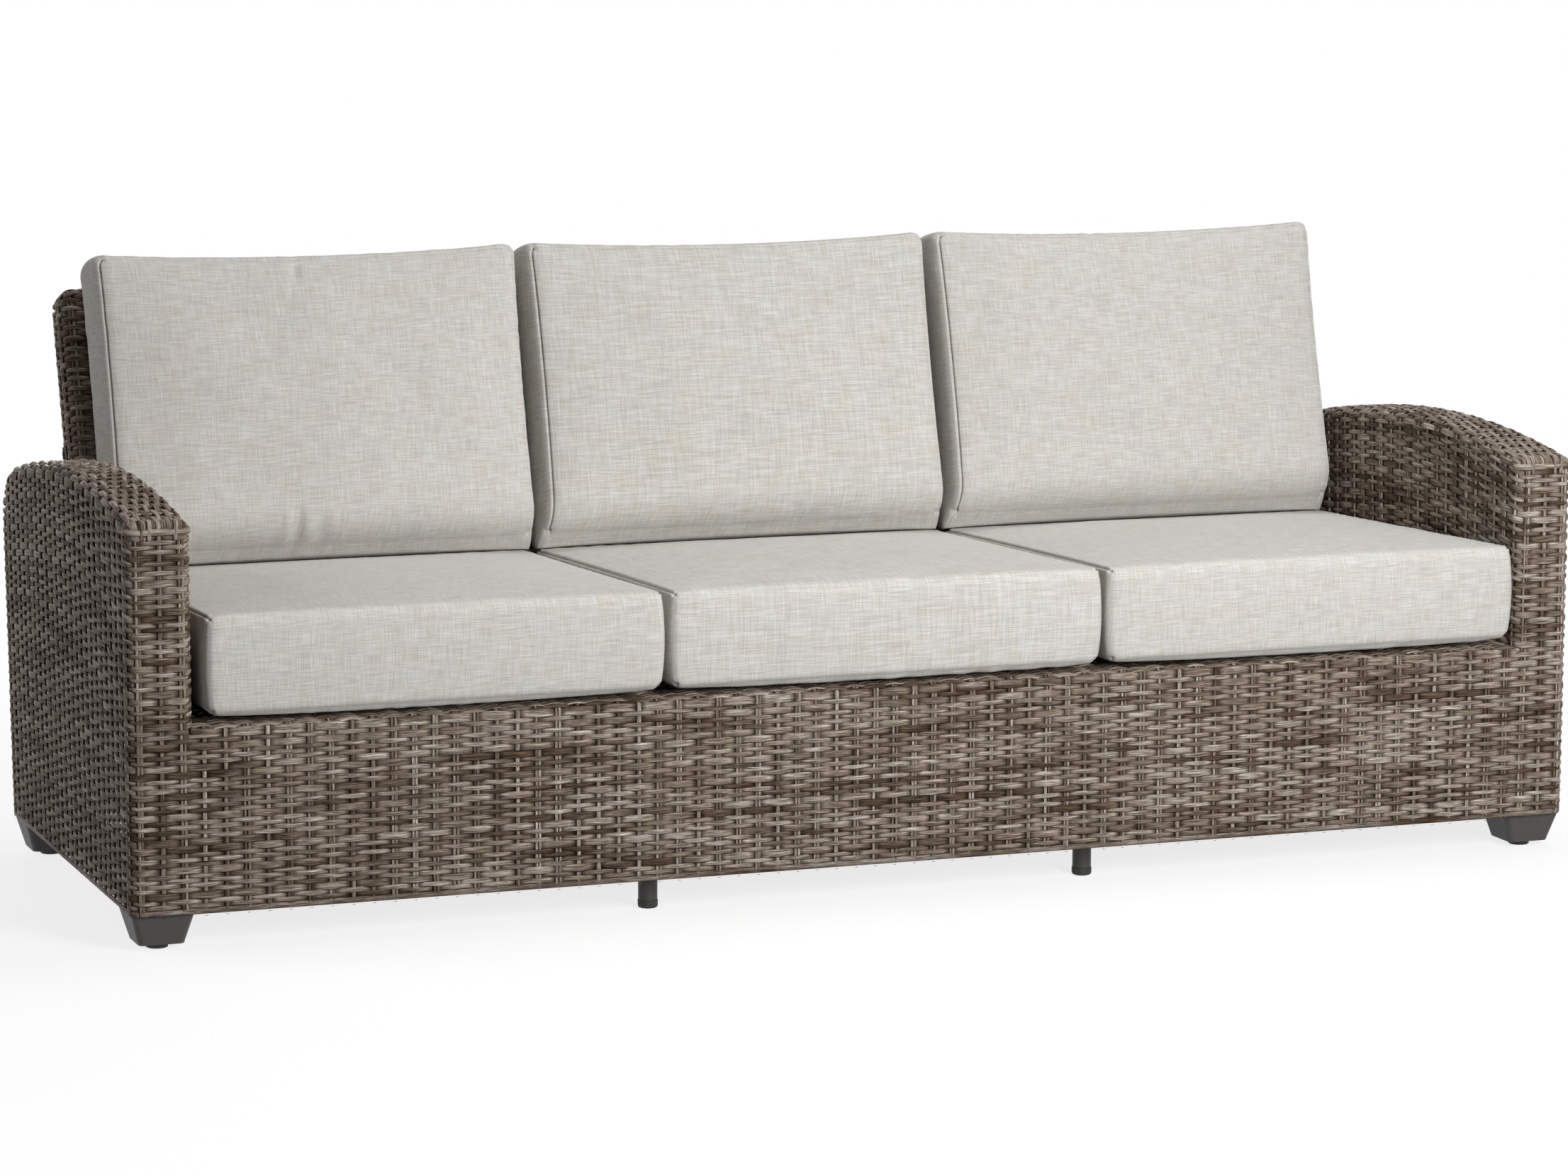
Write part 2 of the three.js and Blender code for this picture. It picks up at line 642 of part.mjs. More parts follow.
// Cushions: a box with a crowned top and bottom, sides drawn in between the corners and eased corners.
// Its own axes are across, through the seams' plan, and up through its thickness.
function cushionForm({ width, depth, thickness, crown, corner, pullIn, swell }) {
  const form = new THREE.BoxGeometry(1, 1, 1, cushionFacetsWide, cushionFacetsDeep, cushionFacetsTall);
  const bare = form.deleteAttribute("normal").deleteAttribute("uv");
  const merged = mergeVertices(bare);
  const points = merged.attributes.position;
  for (let i = 0; i < points.count; i += 1) {
    const a = Math.sin(points.getX(i) * Math.PI);
    const b = Math.sin(points.getY(i) * Math.PI);
    const c = 2 * points.getZ(i);
    const [x, y] = easedCorner((a * width) / 2, (b * depth) / 2, width / 2, depth / 2, corner);
    const fullness = ((1 - a * a) * (1 - b * b)) ** crownFullnessShare;
    const bulge = swell * (1 - c * c);
    const inwardX = a * (pullIn * (1 - b * b) ** sideFullnessShare - bulge * Math.abs(a));
    const inwardY = b * (pullIn * (1 - a * a) ** sideFullnessShare - bulge * Math.abs(b));
    points.setXYZ(i, x - inwardX, y - inwardY, c * (thickness / 2 + crown * fullness));
  }
  return merged;
}

// Moves a point of a square corner onto a round one.
function easedCorner(x, y, halfX, halfY, radius) {
  const overX = Math.abs(x) - (halfX - radius);
  const overY = Math.abs(y) - (halfY - radius);
  if (overX <= 0 || overY <= 0) return [x, y];
  const shrink = Math.max(overX, overY) / Math.hypot(overX, overY);
  return [
    Math.sign(x) * (halfX - radius + overX * shrink),
    Math.sign(y) * (halfY - radius + overY * shrink),
  ];
}

// The width of each cushion in a row, from the gaps beside the arms and between the cushions.
function cushionWidthFor(armGap, gap) {
  const count = Object.keys(seats).length;
  return (2 * (armInnerFace - armGap) - (count - 1) * gap) / count;
}

// The depth of the slab's front face at a height.
function slabFaceAt(height) {
  return seatDeckDepth + (height - deckHeight) * Math.tan(backRake);
}

const seatCushionWidth = cushionWidthFor(seatCushionArmGap, seatCushionGap);
const backCushionWidth = cushionWidthFor(backCushionArmGap, backCushionGap);
const seatCushionDepth = seatCushionOverhang + seatDeckDepth - seatCushionRearGap;
const seatCushionMiddle = (seatDeckDepth - seatCushionRearGap - seatCushionOverhang) / 2;
const seatThickness = seatSeamHigh - seatSeamLow;

// How far the top of a seat cushion has fallen at a depth: it is firm in front and pressed down behind.
function seatFallAt(y) {
  return seatRearDrop * ((y + seatCushionOverhang) / seatCushionDepth);
}

// The height of a seat cushion's top at a place on it, or of its seam beyond its edge.
function seatTopAt(x, y, centreX) {
  const a = Math.min(Math.abs(x - centreX) / (seatCushionWidth / 2), 1);
  const b = Math.min(Math.abs(y - seatCushionMiddle) / (seatCushionDepth / 2), 1);
  const fall = Math.min(seatFallAt(y), seatRearDrop);
  return seatSeamHigh - fall + seatCrown * ((1 - a * a) * (1 - b * b)) ** crownFullnessShare;
}

function addSeatCushion(name, place) {
  const centreX = place * (seatCushionWidth + seatCushionGap);
  const form = cushionForm({
    width: seatCushionWidth, depth: seatCushionDepth, thickness: seatThickness,
    crown: seatCrown, corner: seatCornerRadius, pullIn: seatPullIn, swell: seatSideSwell,
  });
  form.translate(centreX, seatCushionMiddle, (seatSeamLow + seatSeamHigh) / 2);
  const points = form.attributes.position;
  const underside = seatSeamLow - deckHeight - cushionGap;
  for (let i = 0; i < points.count; i += 1) {
    const drop = seatSeamLow - points.getZ(i);
    const rise = Math.min((points.getZ(i) - seatSeamLow) / seatThickness, 1);
    if (drop > 0) points.setZ(i, seatSeamLow - (drop / seatCrown) * underside);
    else points.setZ(i, points.getZ(i) - rise * seatFallAt(points.getY(i)));
  }
  form.computeVertexNormals();
  addPiece(`seat_cushion_${name}`, form, linenFabric);
}

function addBackCushion(name, place) {
  const centreX = place * (backCushionWidth + backCushionGap);
  const seatX = place * (seatCushionWidth + seatCushionGap);
  const form = cushionForm({
    width: backCushionWidth, depth: backCushionHeight, thickness: backCushionThickness,
    crown: backCrown, corner: backCornerRadius, pullIn: backPullIn, swell: backSideSwell,
  });
  const upCushion = new THREE.Vector3(0, Math.sin(backCushionRake), Math.cos(backCushionRake));
  const forward = new THREE.Vector3().crossVectors(alongX, upCushion);
  const rearSeam = new THREE.Vector3(centreX, 0, seatSeamHigh - backCushionSink)
    .addScaledVector(forward, -backCushionThickness);
  rearSeam.y = slabFaceAt(rearSeam.z) - backCushionRearGap;
  const centre = rearSeam
    .addScaledVector(upCushion, backCushionHeight / 2)
    .addScaledVector(forward, backCushionThickness / 2);
  oriented(form, centre, alongX, upCushion);
  const points = form.attributes.position;
  for (let i = 0; i < points.count; i += 1) {
    const floor = seatTopAt(points.getX(i), points.getY(i), seatX) + cushionGap;
    const z = Math.max(points.getZ(i), floor);
    const wall = slabFaceAt(z) - cushionGap;
    points.setXYZ(i, points.getX(i), Math.min(points.getY(i), wall), z);
  }
  form.computeVertexNormals();
  addPiece(`back_cushion_${name}`, form, linenFabric);
}

for (const sideName of Object.keys(sides)) addArm(sideName);
addSeatFrame();
addFrontWeave();
addBackWeave();
addBackFrame();
for (const [sideName, side] of Object.entries(sides)) {
  const footX = side * (halfWidth - footSideInset - footSize / 2);
  addFoot(`front_${sideName}`, footX, footFrontInset + footSize / 2);
  addFoot(`rear_${sideName}`, footX, armFootprintDepth - footRearInset - footSize / 2);
  addSupportLeg(`front_${sideName}`, side * seatTubePitch, frontLegDepth);
  addSupportLeg(`rear_${sideName}`, side * seatTubePitch, rearLegDepth);
}
for (const [name, place] of Object.entries(seats)) {
  addSeatCushion(name, place);
  addBackCushion(name, place);
}

// The origin is on the floor, under the middle of the sofa's outer box.
const bounds = new THREE.Box3().setFromObject(sofa);
const middle = bounds.getCenter(new THREE.Vector3());
sofa.position.set(-middle.x, -middle.y, -bounds.min.z);

export default sofa;
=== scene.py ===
"""The looks of a rattan garden sofa: resin strands woven over a tube frame, with loose linen cushions.

While a piece is shaped its lengths are millimetres, its depths start at the woven front face and its heights
at the floor, as in the part's source. to_frame turns them into the frame's metres.
"""

import json
import logging
import math
from dataclasses import dataclass, field
from enum import Enum

import bpy
import numpy as np
from mathutils import Matrix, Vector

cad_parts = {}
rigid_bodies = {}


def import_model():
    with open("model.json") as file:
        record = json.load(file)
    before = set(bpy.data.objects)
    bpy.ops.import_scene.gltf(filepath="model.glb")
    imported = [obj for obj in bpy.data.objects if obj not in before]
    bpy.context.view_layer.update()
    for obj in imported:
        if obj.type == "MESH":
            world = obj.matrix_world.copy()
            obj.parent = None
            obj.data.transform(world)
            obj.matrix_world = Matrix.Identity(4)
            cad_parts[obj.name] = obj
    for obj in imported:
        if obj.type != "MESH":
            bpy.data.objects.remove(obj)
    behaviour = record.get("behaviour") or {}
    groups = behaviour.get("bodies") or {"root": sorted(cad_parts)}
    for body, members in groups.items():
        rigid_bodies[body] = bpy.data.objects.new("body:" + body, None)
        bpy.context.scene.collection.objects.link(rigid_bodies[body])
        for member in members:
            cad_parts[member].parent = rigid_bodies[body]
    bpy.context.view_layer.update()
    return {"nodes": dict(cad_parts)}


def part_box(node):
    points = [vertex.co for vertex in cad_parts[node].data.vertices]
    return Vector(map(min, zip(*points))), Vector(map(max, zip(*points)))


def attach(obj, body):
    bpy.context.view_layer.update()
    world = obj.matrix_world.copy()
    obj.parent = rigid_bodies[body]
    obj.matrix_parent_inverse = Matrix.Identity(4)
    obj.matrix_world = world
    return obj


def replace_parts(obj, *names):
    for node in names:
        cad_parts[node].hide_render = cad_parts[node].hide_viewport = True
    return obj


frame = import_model()
FRONT_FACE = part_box("front_weave")[0].y

log = logging.getLogger("sofa")
Array = np.ndarray
Place = tuple[float, float, float]
Material = bpy.types.Material
Piece = bpy.types.Object
Socket = bpy.types.NodeSocket
Tree = bpy.types.NodeTree

MM_PER_M = 1000
WHITE = "#ffffff"


@dataclass(frozen=True)
class Sizes:
    """Sizes that several pieces share, in millimetres, as in the part's source."""

    half_width: float = 1125
    arm_width: float = 92
    hem: float = 53
    hem_strand: float = 9.5
    deck: float = 319
    deck_depth: float = 641
    arm_depth: float = 779
    arm_height: float = 637
    arch_radius: float = 1945
    arch_apex: float = 340
    arm_lean: float = math.radians(5.1)
    front_corner: float = 10
    rear_corner: float = 90
    edge_radius: float = 18
    back_height: float = 856
    back_rake: float = math.radians(18.2)
    back_thickness: float = 62
    back_corner: float = 30
    rear_inset: float = 25
    lip_radius: float = 9.3

    @property
    def arm_inner(self) -> float:
        """How far an arm's inner face stands from the middle."""
        return self.half_width - self.arm_width

    @property
    def back_length(self) -> float:
        """Length of the back slab up its rake, from the deck."""
        return (self.back_height - self.deck) / math.cos(self.back_rake)


SOFA = Sizes()


def to_frame(points: Array) -> Array:
    """Turn millimetres from the woven front face into the frame's metres."""
    return points / MM_PER_M + np.array([0.0, FRONT_FACE, 0.0])


def unit(vectors: Array) -> Array:
    """Scale each vector to a length of one."""
    return vectors / np.maximum(np.linalg.norm(vectors, axis=-1, keepdims=True), 1e-9)


def columns(*values: Array | float) -> Array:
    """Put values side by side along a new last axis; a single number is repeated."""
    return np.stack(np.broadcast_arrays(*values), -1)


def ease(value: Array, low: float, high: float) -> Array:
    """Rise smoothly from nought at low to one at high."""
    t = np.clip((np.asarray(value, float) - low) / (high - low), 0, 1)
    return t * t * (3 - 2 * t)


def linear(code: str) -> tuple[float, float, float, float]:
    """Turn an sRGB hex colour into linear light.

    Args:
        code: the colour as "#rrggbb".

    Returns:
        Red, green, blue and an alpha of one.
    """
    parts = [int(code[i : i + 2], 16) / 255 for i in (1, 3, 5)]
    red, green, blue = (c / 12.92 if c <= 0.04045 else ((c + 0.055) / 1.055) ** 2.4 for c in parts)
    return (red, green, blue, 1.0)


def start_tree(holder: Material | bpy.types.World) -> Tree:
    """Give a material or a world an empty node tree.

    Args:
        holder: the material or world.

    Returns:
        Its node tree.
    """
    holder.use_nodes = True
    holder.node_tree.nodes.clear()
    return holder.node_tree


def add_node(tree: Tree, kind: str, inputs: dict | None = None, **fields: object) -> bpy.types.Node:
    """Add a node, set its fields, and set or link its inputs.

    Args:
        tree: the node tree that gets the node.
        kind: the node's Blender type, without "ShaderNode".
        inputs: values, or sockets to link from, by the input's name or place.
        fields: the node's own settings by name. A ramp's stops are places with sRGB hex colours.

    Returns:
        The new node.
    """
    node = tree.nodes.new("ShaderNode" + kind)
    stops = fields.pop("stops", ())
    for name, value in fields.items():
        setattr(node, name, value)
    for _ in stops[2:]:
        node.color_ramp.elements.new(0.5)
    for element, (place, code) in zip(node.color_ramp.elements if stops else (), stops):
        element.position = place
        element.color = linear(code)
    for name, value in (inputs or {}).items():
        if isinstance(value, Socket):
            tree.links.new(value, node.inputs[name])
        else:
            node.inputs[name].default_value = value
    return node


def drawn_noise(tree: Tree, place: Socket, scale: Place, shift: float, inputs: dict) -> Socket:
    """Read noise over a surface, drawn out along its directions.

    Args:
        tree: the node tree.
        place: the place on the surface.
        scale: how fine the noise is along each direction.
        shift: moves the noise, so that no two are alike.
        inputs: more inputs of the noise.

    Returns:
        A number from nought to one.
    """
    moved = add_node(tree, "Mapping", {"Vector": place, "Scale": scale, "Location": (shift, shift, 0)})
    return add_node(tree, "TexNoise", {"Vector": moved.outputs[0], "Scale": 1.0} | inputs).outputs["Fac"]


class Blend(Enum):
    """How one colour layer is laid over another, as fields of a mix node."""

    MIX = {"data_type": "RGBA", "blend_type": "MIX"}
    MULTIPLY = {"data_type": "RGBA", "blend_type": "MULTIPLY"}


# The places of a colour mix node's sockets
SHARE, UNDER, OVER, RESULT = 0, 6, 7, 2


@dataclass(frozen=True)
class ExtrudedResin:
    """Polyethylene strand, extruded in two tones with a bark grain and laid round by hand."""

    name: str = "extruded_resin_strand"
    deep: str = "#3b312a"
    brown: str = "#8a7d72"
    grey: str = "#b3a79b"
    # The pale streaks are the strand's light grain, made paler than it is as a painted highlight
    pale: str = "#efe7dd"
    dark_batch: str = "#85786c"
    middle_batch: str = "#d8d2cc"
    # Painted shade: a strand's colour is darkened towards this where it dips into a crossing
    crossing: str = "#6f665e"
    grain_length_mm: float = 26
    grain_width_mm: float = 0.95
    tone_length_mm: float = 220
    tone_width_mm: float = 25
    groove_mm: float = 0.35
    # The noise is read this much further on for each strand, so that no two strands are alike
    grain_step: float = 7.3
    tone_step: float = 3.7
    # The die leaves a satin skin, duller in the dark streaks than on the pale ones
    dull: float = 0.46
    satin: float = 0.22
    # Inside the weave each strand shades its neighbours, so little of the surround is reflected
    specular: float = 0.025

    def build(self) -> Material:
        """Make the strand's material: grain along it, tones by the batch, and painted shade where strands
        cross.

        Returns:
            The material.
        """
        material = bpy.data.materials.new(self.name)
        tree = start_tree(material)
        strand = add_node(tree, "Attribute", attribute_name="strand").outputs["Vector"]
        lift = add_node(tree, "Attribute", attribute_name="lift").outputs["Fac"]
        fine = (MM_PER_M / self.grain_length_mm, MM_PER_M / self.grain_width_mm, self.grain_step)
        grain = drawn_noise(tree, strand, fine, 0.0, {"Detail": 3.0, "Roughness": 0.6, "Distortion": 0.25})
        broad = (MM_PER_M / self.tone_length_mm, MM_PER_M / self.tone_width_mm, self.tone_step)
        tone = drawn_noise(tree, strand, broad, 0.0, {"Detail": 1.0})
        colour = add_node(tree, "ValToRGB", {"Fac": grain}, stops=(
            (0.33, self.deep), (0.45, self.brown), (0.57, self.grey), (0.69, self.pale))).outputs["Color"]
        for source, stops in (
            (tone, ((0.34, self.dark_batch), (0.5, self.middle_batch), (0.62, WHITE))),
            # Painted shade: the colour darkens where the strand's lift is low, down in the crossings
            (lift, ((0.04, self.crossing), (0.42, WHITE))),
        ):
            layer = add_node(tree, "ValToRGB", {"Fac": source}, stops=stops).outputs["Color"]
            colour = add_node(tree, "Mix", {
                SHARE: 1.0, UNDER: colour, OVER: layer,
            }, **Blend.MULTIPLY.value).outputs[RESULT]
        gloss = add_node(tree, "MapRange", {"Value": grain, "To Min": self.dull, "To Max": self.satin})
        bump = add_node(tree, "Bump", {
            "Strength": 0.5, "Distance": self.groove_mm / MM_PER_M, "Height": grain})
        shader = add_node(tree, "BsdfPrincipled", {
            "Base Color": colour, "Roughness": gloss.outputs[0], "Normal": bump.outputs[0], "IOR": 1.51,
            "Specular IOR Level": self.specular})
        add_node(tree, "OutputMaterial", {"Surface": shader.outputs["BSDF"]})
        return material


@dataclass(frozen=True)
class SlubLinen:
    """Solution-dyed acrylic woven like linen: a flat weave with slubs, pale with warm and cool yarns.

    The real yarns are about 0.6 mm apart, too fine to show, so they are drawn near 1.1 mm.
    """

    name: str = "woven_acrylic_linen"
    ground: str = "#cac8c3"
    cool: str = "#b2b9bb"
    warm: str = "#c6b9a2"
    straw: str = "#bbb4a4"
    frost: str = "#d8dada"
    pale: str = "#e3e0da"
    shade: str = "#b2aea6"
    yarn_mm: float = 1.1
    slub_mm: float = 32
    patch_mm: float = 30
    patch_share: float = 0.12
    relief_mm: float = 0.35
    # Brushed staple yarn scatters light: dull, with a faint sheen where it is seen along the cloth
    roughness: float = 0.94
    specular: float = 0.25
    sheen: float = 0.12
    sheen_roughness: float = 0.5

    def build(self) -> Material:
        """Make the cloth's material: weft and warp yarns that are thick and thin, in broad patches of tone.

        Returns:
            The material.
        """
        material = bpy.data.materials.new(self.name)
        tree = start_tree(material)
        cloth = add_node(tree, "Attribute", attribute_name="cloth").outputs["Vector"]
        slub, yarn, broad = 1 / self.slub_mm, 1 / self.yarn_mm, 1 / self.patch_mm
        uneven = {"Detail": 0.4, "Roughness": 0.5}
        weft = drawn_noise(tree, cloth, (slub, yarn, 1.0), 3.1, uneven)
        warp = drawn_noise(tree, cloth, (yarn, slub, 1.0), 17.7, uneven)
        patch = drawn_noise(tree, cloth, (broad / 2, broad, 1.0), 0.0, {"Detail": 2.0})
        ground = ((0.46, self.ground), (0.56, self.ground))
        colour, *layers = (
            add_node(tree, "ValToRGB", {"Fac": source}, stops=stops).outputs["Color"] for source, stops in (
                (weft, ((0.33, self.shade), *ground, (0.66, self.pale))),
                (warp, ((0.33, self.straw), *ground, (0.66, self.frost))),
                (patch, ((0.35, self.warm), (0.5, self.ground), (0.65, self.cool)))))
        for share, layer in zip((0.5, self.patch_share), layers):
            colour = add_node(tree, "Mix", {
                SHARE: share, UNDER: colour, OVER: layer,
            }, **Blend.MIX.value).outputs[RESULT]
        height = add_node(tree, "Math", {0: weft, 1: warp}, operation="ADD").outputs[0]
        bump = add_node(tree, "Bump", {
            "Strength": 0.55, "Distance": self.relief_mm / MM_PER_M, "Height": height})
        shader = add_node(tree, "BsdfPrincipled", {
            "Base Color": colour, "Normal": bump.outputs[0], "Roughness": self.roughness,
            "Specular IOR Level": self.specular, "Sheen Weight": self.sheen,
            "Sheen Roughness": self.sheen_roughness})
        add_node(tree, "OutputMaterial", {"Surface": shader.outputs["BSDF"]})
        return material


@dataclass(frozen=True)
class CoatedMetal:
    """A hard skin: powder paint has a fine orange peel, moulded nylon a spark grain, zinc plate a haze."""

    name: str
    colour: str
    fleck: str
    roughness: float
    grit_mm: float
    relief_mm: float
    metallic: float = 0.0
    peel: float = 0.35
    handling: str = "#dcdcdc"
    handling_mm: float = 71.43

    def build(self) -> Material:
        """Make the skin's material: fine grit, and broad patches dulled by handling.

        Returns:
            The material.
        """
        material = bpy.data.materials.new(self.name)
        tree = start_tree(material)
        place = add_node(tree, "TexCoord").outputs["Object"]
        grit, wear = (
            add_node(tree, "TexNoise", {
                "Vector": place, "Scale": MM_PER_M / size, "Detail": 2.0, "Roughness": rough}).outputs["Fac"]
            for size, rough in ((self.grit_mm, 0.55), (self.handling_mm, 0.5)))
        fine, broad = (
            add_node(tree, "ValToRGB", {"Fac": source}, stops=stops).outputs["Color"] for source, stops in (
                (grit, ((0.38, self.colour), (0.72, self.fleck))),
                (wear, ((0.3, self.handling), (0.7, WHITE)))))
        colour = add_node(tree, "Mix", {
            SHARE: 0.5, UNDER: fine, OVER: broad,
        }, **Blend.MULTIPLY.value).outputs[RESULT]
        gloss = add_node(tree, "MapRange", {
            "Value": grit, "To Min": self.roughness - 0.06, "To Max": self.roughness + 0.08})
        bump = add_node(tree, "Bump", {
            "Strength": self.peel, "Distance": self.relief_mm / MM_PER_M, "Height": grit})
        shader = add_node(tree, "BsdfPrincipled", {
            "Base Color": colour, "Roughness": gloss.outputs[0], "Normal": bump.outputs[0],
            "Metallic": self.metallic})
        add_node(tree, "OutputMaterial", {"Surface": shader.outputs["BSDF"]})
        return material


@dataclass
class Palette:
    """The sofa's finishes, each made once."""

    resin: Material = field(default_factory=lambda: ExtrudedResin().build())
    linen: Material = field(default_factory=lambda: SlubLinen().build())
    # Powder paint on the hidden tubes: dark bronze, satin
    tube: Material = field(default_factory=lambda: CoatedMetal(
        "bronze_powder_paint", "#3d3833", "#4f4943", 0.5, 0.9, 0.05).build())
    # Textured powder paint on the feet: warm grey with a fine sandy grain
    foot: Material = field(default_factory=lambda: CoatedMetal(
        "textured_grey_powder_paint", "#403d3c", "#4e4b4a", 0.52, 1.3, 0.12).build())
    # Smooth powder paint on the support legs: near black, satin
    leg: Material = field(default_factory=lambda: CoatedMetal(
        "black_powder_paint", "#2a2725", "#383432", 0.42, 0.8, 0.04).build())
    # Moulded nylon on the glides and caps: black, dull
    nylon: Material = field(default_factory=lambda: CoatedMetal(
        "moulded_black_nylon", "#171615", "#211f1e", 0.55, 1.1, 0.06).build())
    # Zinc plate on the levelling studs: pale grey metal with a fine haze
    steel: Material = field(default_factory=lambda: CoatedMetal(
        "zinc_plated_steel", "#a9a9a6", "#bfbfbb", 0.34, 0.7, 0.02, metallic=1.0).build())


def mesh_object(name: str, points: Array, polygons: list[Array], material: Material) -> Piece:
    """Make a smooth mesh object from points in millimetres.

    Args:
        name: the piece's name.
        points: its corners, one row each.
        polygons: arrays of faces; the faces of one array have the same number of corners.
        material: its finish.

    Returns:
        The new object, in the frame's metres.
    """
    mesh = bpy.data.meshes.new(name)
    corners = np.concatenate([p.ravel() for p in polygons]).astype(np.int32)
    sizes = np.concatenate([np.full(len(p), p.shape[1]) for p in polygons])
    starts = np.concatenate([[0], np.cumsum(sizes)[:-1]]).astype(np.int32)
    mesh.vertices.add(len(points))
    mesh.vertices.foreach_set("co", to_frame(points).astype(np.float32).ravel())
    mesh.loops.add(len(corners))
    mesh.loops.foreach_set("vertex_index", corners)
    mesh.polygons.add(len(sizes))
    mesh.polygons.foreach_set("loop_start", starts)
    mesh.polygons.foreach_set("use_smooth", np.ones(len(sizes), bool))
    mesh.update(calc_edges=True)
    mesh.materials.append(material)
    piece = bpy.data.objects.new(name, mesh)
    bpy.context.scene.collection.objects.link(piece)
    return piece


def add_attribute(piece: Piece, name: str, values: Array) -> None:
    """Give each corner of a mesh a number or a vector that its material reads.

    Args:
        piece: the mesh object.
        name: the attribute's name.
        values: one number or one row of three for each corner.
    """
    kind, slot = ("FLOAT", "value") if values.ndim == 1 else ("FLOAT_VECTOR", "vector")
    layer = piece.data.attributes.new(name, kind, "POINT")
    layer.data.foreach_set(slot, values.astype(np.float32).ravel())


RING_TURNS = np.radians([0, 50, 90, 130, 180, 270])
RING = len(RING_TURNS)


@dataclass
class StrandPile:
    """Strands laid for one piece: each is a closed tube, round on top and ridged beneath."""

    rng: np.random.Generator
    points: list[Array] = field(default_factory=list)
    grain: list[Array] = field(default_factory=list)
    lifts: list[Array] = field(default_factory=list)
    quads: list[Array] = field(default_factory=list)
    caps: list[Array] = field(default_factory=list)
    quad_map: list[Array] = field(default_factory=list)
    cap_map: list[Array] = field(default_factory=list)
    corners: int = 0
    laid: float = 0.0
    strands: int = 0
    map_perimeter: float = 24.0
    map_spare: float = 12.0
    map_least: float = 60.0
    map_margin: float = 0.08

    def lay(self, centre: Array, normal: Array, width: Array | float, thickness: float, closed: bool = False,
            lift: Array | float = 0.9) -> None:
        """Lay one strand.

        Args:
            centre: the points that it follows, in millimetres.
            normal: the direction away from the weave at each.
            width: its width there.
            thickness: its thickness.
            closed: if its end meets its start.
            lift: how far it stands out of the weave, from nought in a crossing to one on a crest; where it is
                low the material paints shade.
        """
        total = len(centre)
        steps = (np.roll(centre, -1, 0) - np.roll(centre, 1, 0)) if closed else np.gradient(centre, axis=0)
        along = unit(steps)
        across = unit(np.cross(along, normal))
        outward = np.cross(across, along)
        half = np.broadcast_to(np.asarray(width, float) / 2, total)
        side = np.cos(RING_TURNS)[None, :] * half[:, None]
        rise = np.sin(RING_TURNS)[None, :] * (thickness / 2)
        rings = centre[:, None] + across[:, None] * side[..., None] + outward[:, None] * rise[..., None]
        self.points.append(rings.reshape(-1, 3))
        gaps = np.linalg.norm(np.diff(centre, axis=0, append=centre[:1]), axis=1)
        travel = np.concatenate([[0], np.cumsum(gaps)])
        start = self.rng.uniform(0, 9)
        places = columns(travel[:total, None] / MM_PER_M + start, side / MM_PER_M, float(self.strands))
        self.grain.append(places.reshape(-1, 3))
        self.lifts.append(np.repeat(np.broadcast_to(np.asarray(lift, float), total), RING))
        self.join_rings(total, travel, closed)
        self.corners += total * RING
        self.laid += travel[total if closed else total - 1]
        self.strands += 1

    def join_rings(self, total: int, travel: Array, closed: bool) -> None:
        """Make a strand's faces, and the place of each on the map for baking.

        Args:
            total: how many rings of corners the strand has.
            travel: how far along the strand each ring lies.
            closed: if its end meets its start.
        """
        ring = np.arange(total if closed else total - 1)
        here, there = (self.corners + r[:, None] * RING for r in (ring, (ring + 1) % total))
        k = np.arange(RING)
        k_next = (k + 1) % RING
        self.quads.append(columns(here + k, there + k, there + k_next, here + k_next).reshape(-1, 4))
        begin, end = (self.laid + travel[r][:, None] for r in (ring, ring + 1))
        places = [columns(at, row, begin) for at, row in ((begin, k), (end, k), (end, k + 1), (begin, k + 1))]
        self.quad_map.append(np.stack(places, -2).reshape(-1, 4, 3))
        if not closed:
            last = self.corners + (total - 1) * RING
            self.caps.append(np.stack([self.corners + k, last + k[::-1]]))
            turn = columns(self.laid + 1 + np.cos(RING_TURNS), 3 + 2 * np.sin(RING_TURNS), self.laid)
            self.cap_map.append(np.stack([turn, turn[::-1]]))

    def bake_map(self) -> Array:
        """Lay all the strands side by side in bands, for baking.

        One band holds as many millimetres of strand as all the bands together are wide.

        Returns:
            A place on the map, from nought to one, for each corner of each face.
        """
        places = np.concatenate([m.reshape(-1, 3) for m in self.quad_map + self.cap_map])
        length = max(math.sqrt(self.laid * self.map_perimeter), self.map_least)
        bands = math.floor(self.laid / length) + 1
        band = np.floor(places[:, 2] / length)
        u = (places[:, 0] - band * length) / (length + self.map_spare)
        v = (band + self.map_margin + (1 - 2 * self.map_margin) * places[:, 1] / RING) / bands
        return np.clip(columns(u, v), 0, 1)

    def build(self, name: str, material: Material) -> Piece:
        """Join the strands into one piece, with its grain and its map.

        Args:
            name: the piece's name.
            material: its finish.

        Returns:
            The piece, riding on the frame.
        """
        polygons = [np.concatenate(faces) for faces in (self.quads, self.caps) if faces]
        piece = mesh_object(name, np.concatenate(self.points), polygons, material)
        add_attribute(piece, "strand", np.concatenate(self.grain))
        add_attribute(piece, "lift", np.concatenate(self.lifts))
        layer = piece.data.uv_layers.new(name="OFBake")
        layer.uv.foreach_set("vector", self.bake_map().astype(np.float32).ravel())
        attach(piece, "frame")
        log.info("%s: %d strands, %d faces", name, self.strands, len(piece.data.polygons))
        return piece


def seeded(seed: int) -> StrandPile:
    """Start a pile of strands whose chances come from a seed."""
    return StrandPile(np.random.default_rng(seed))


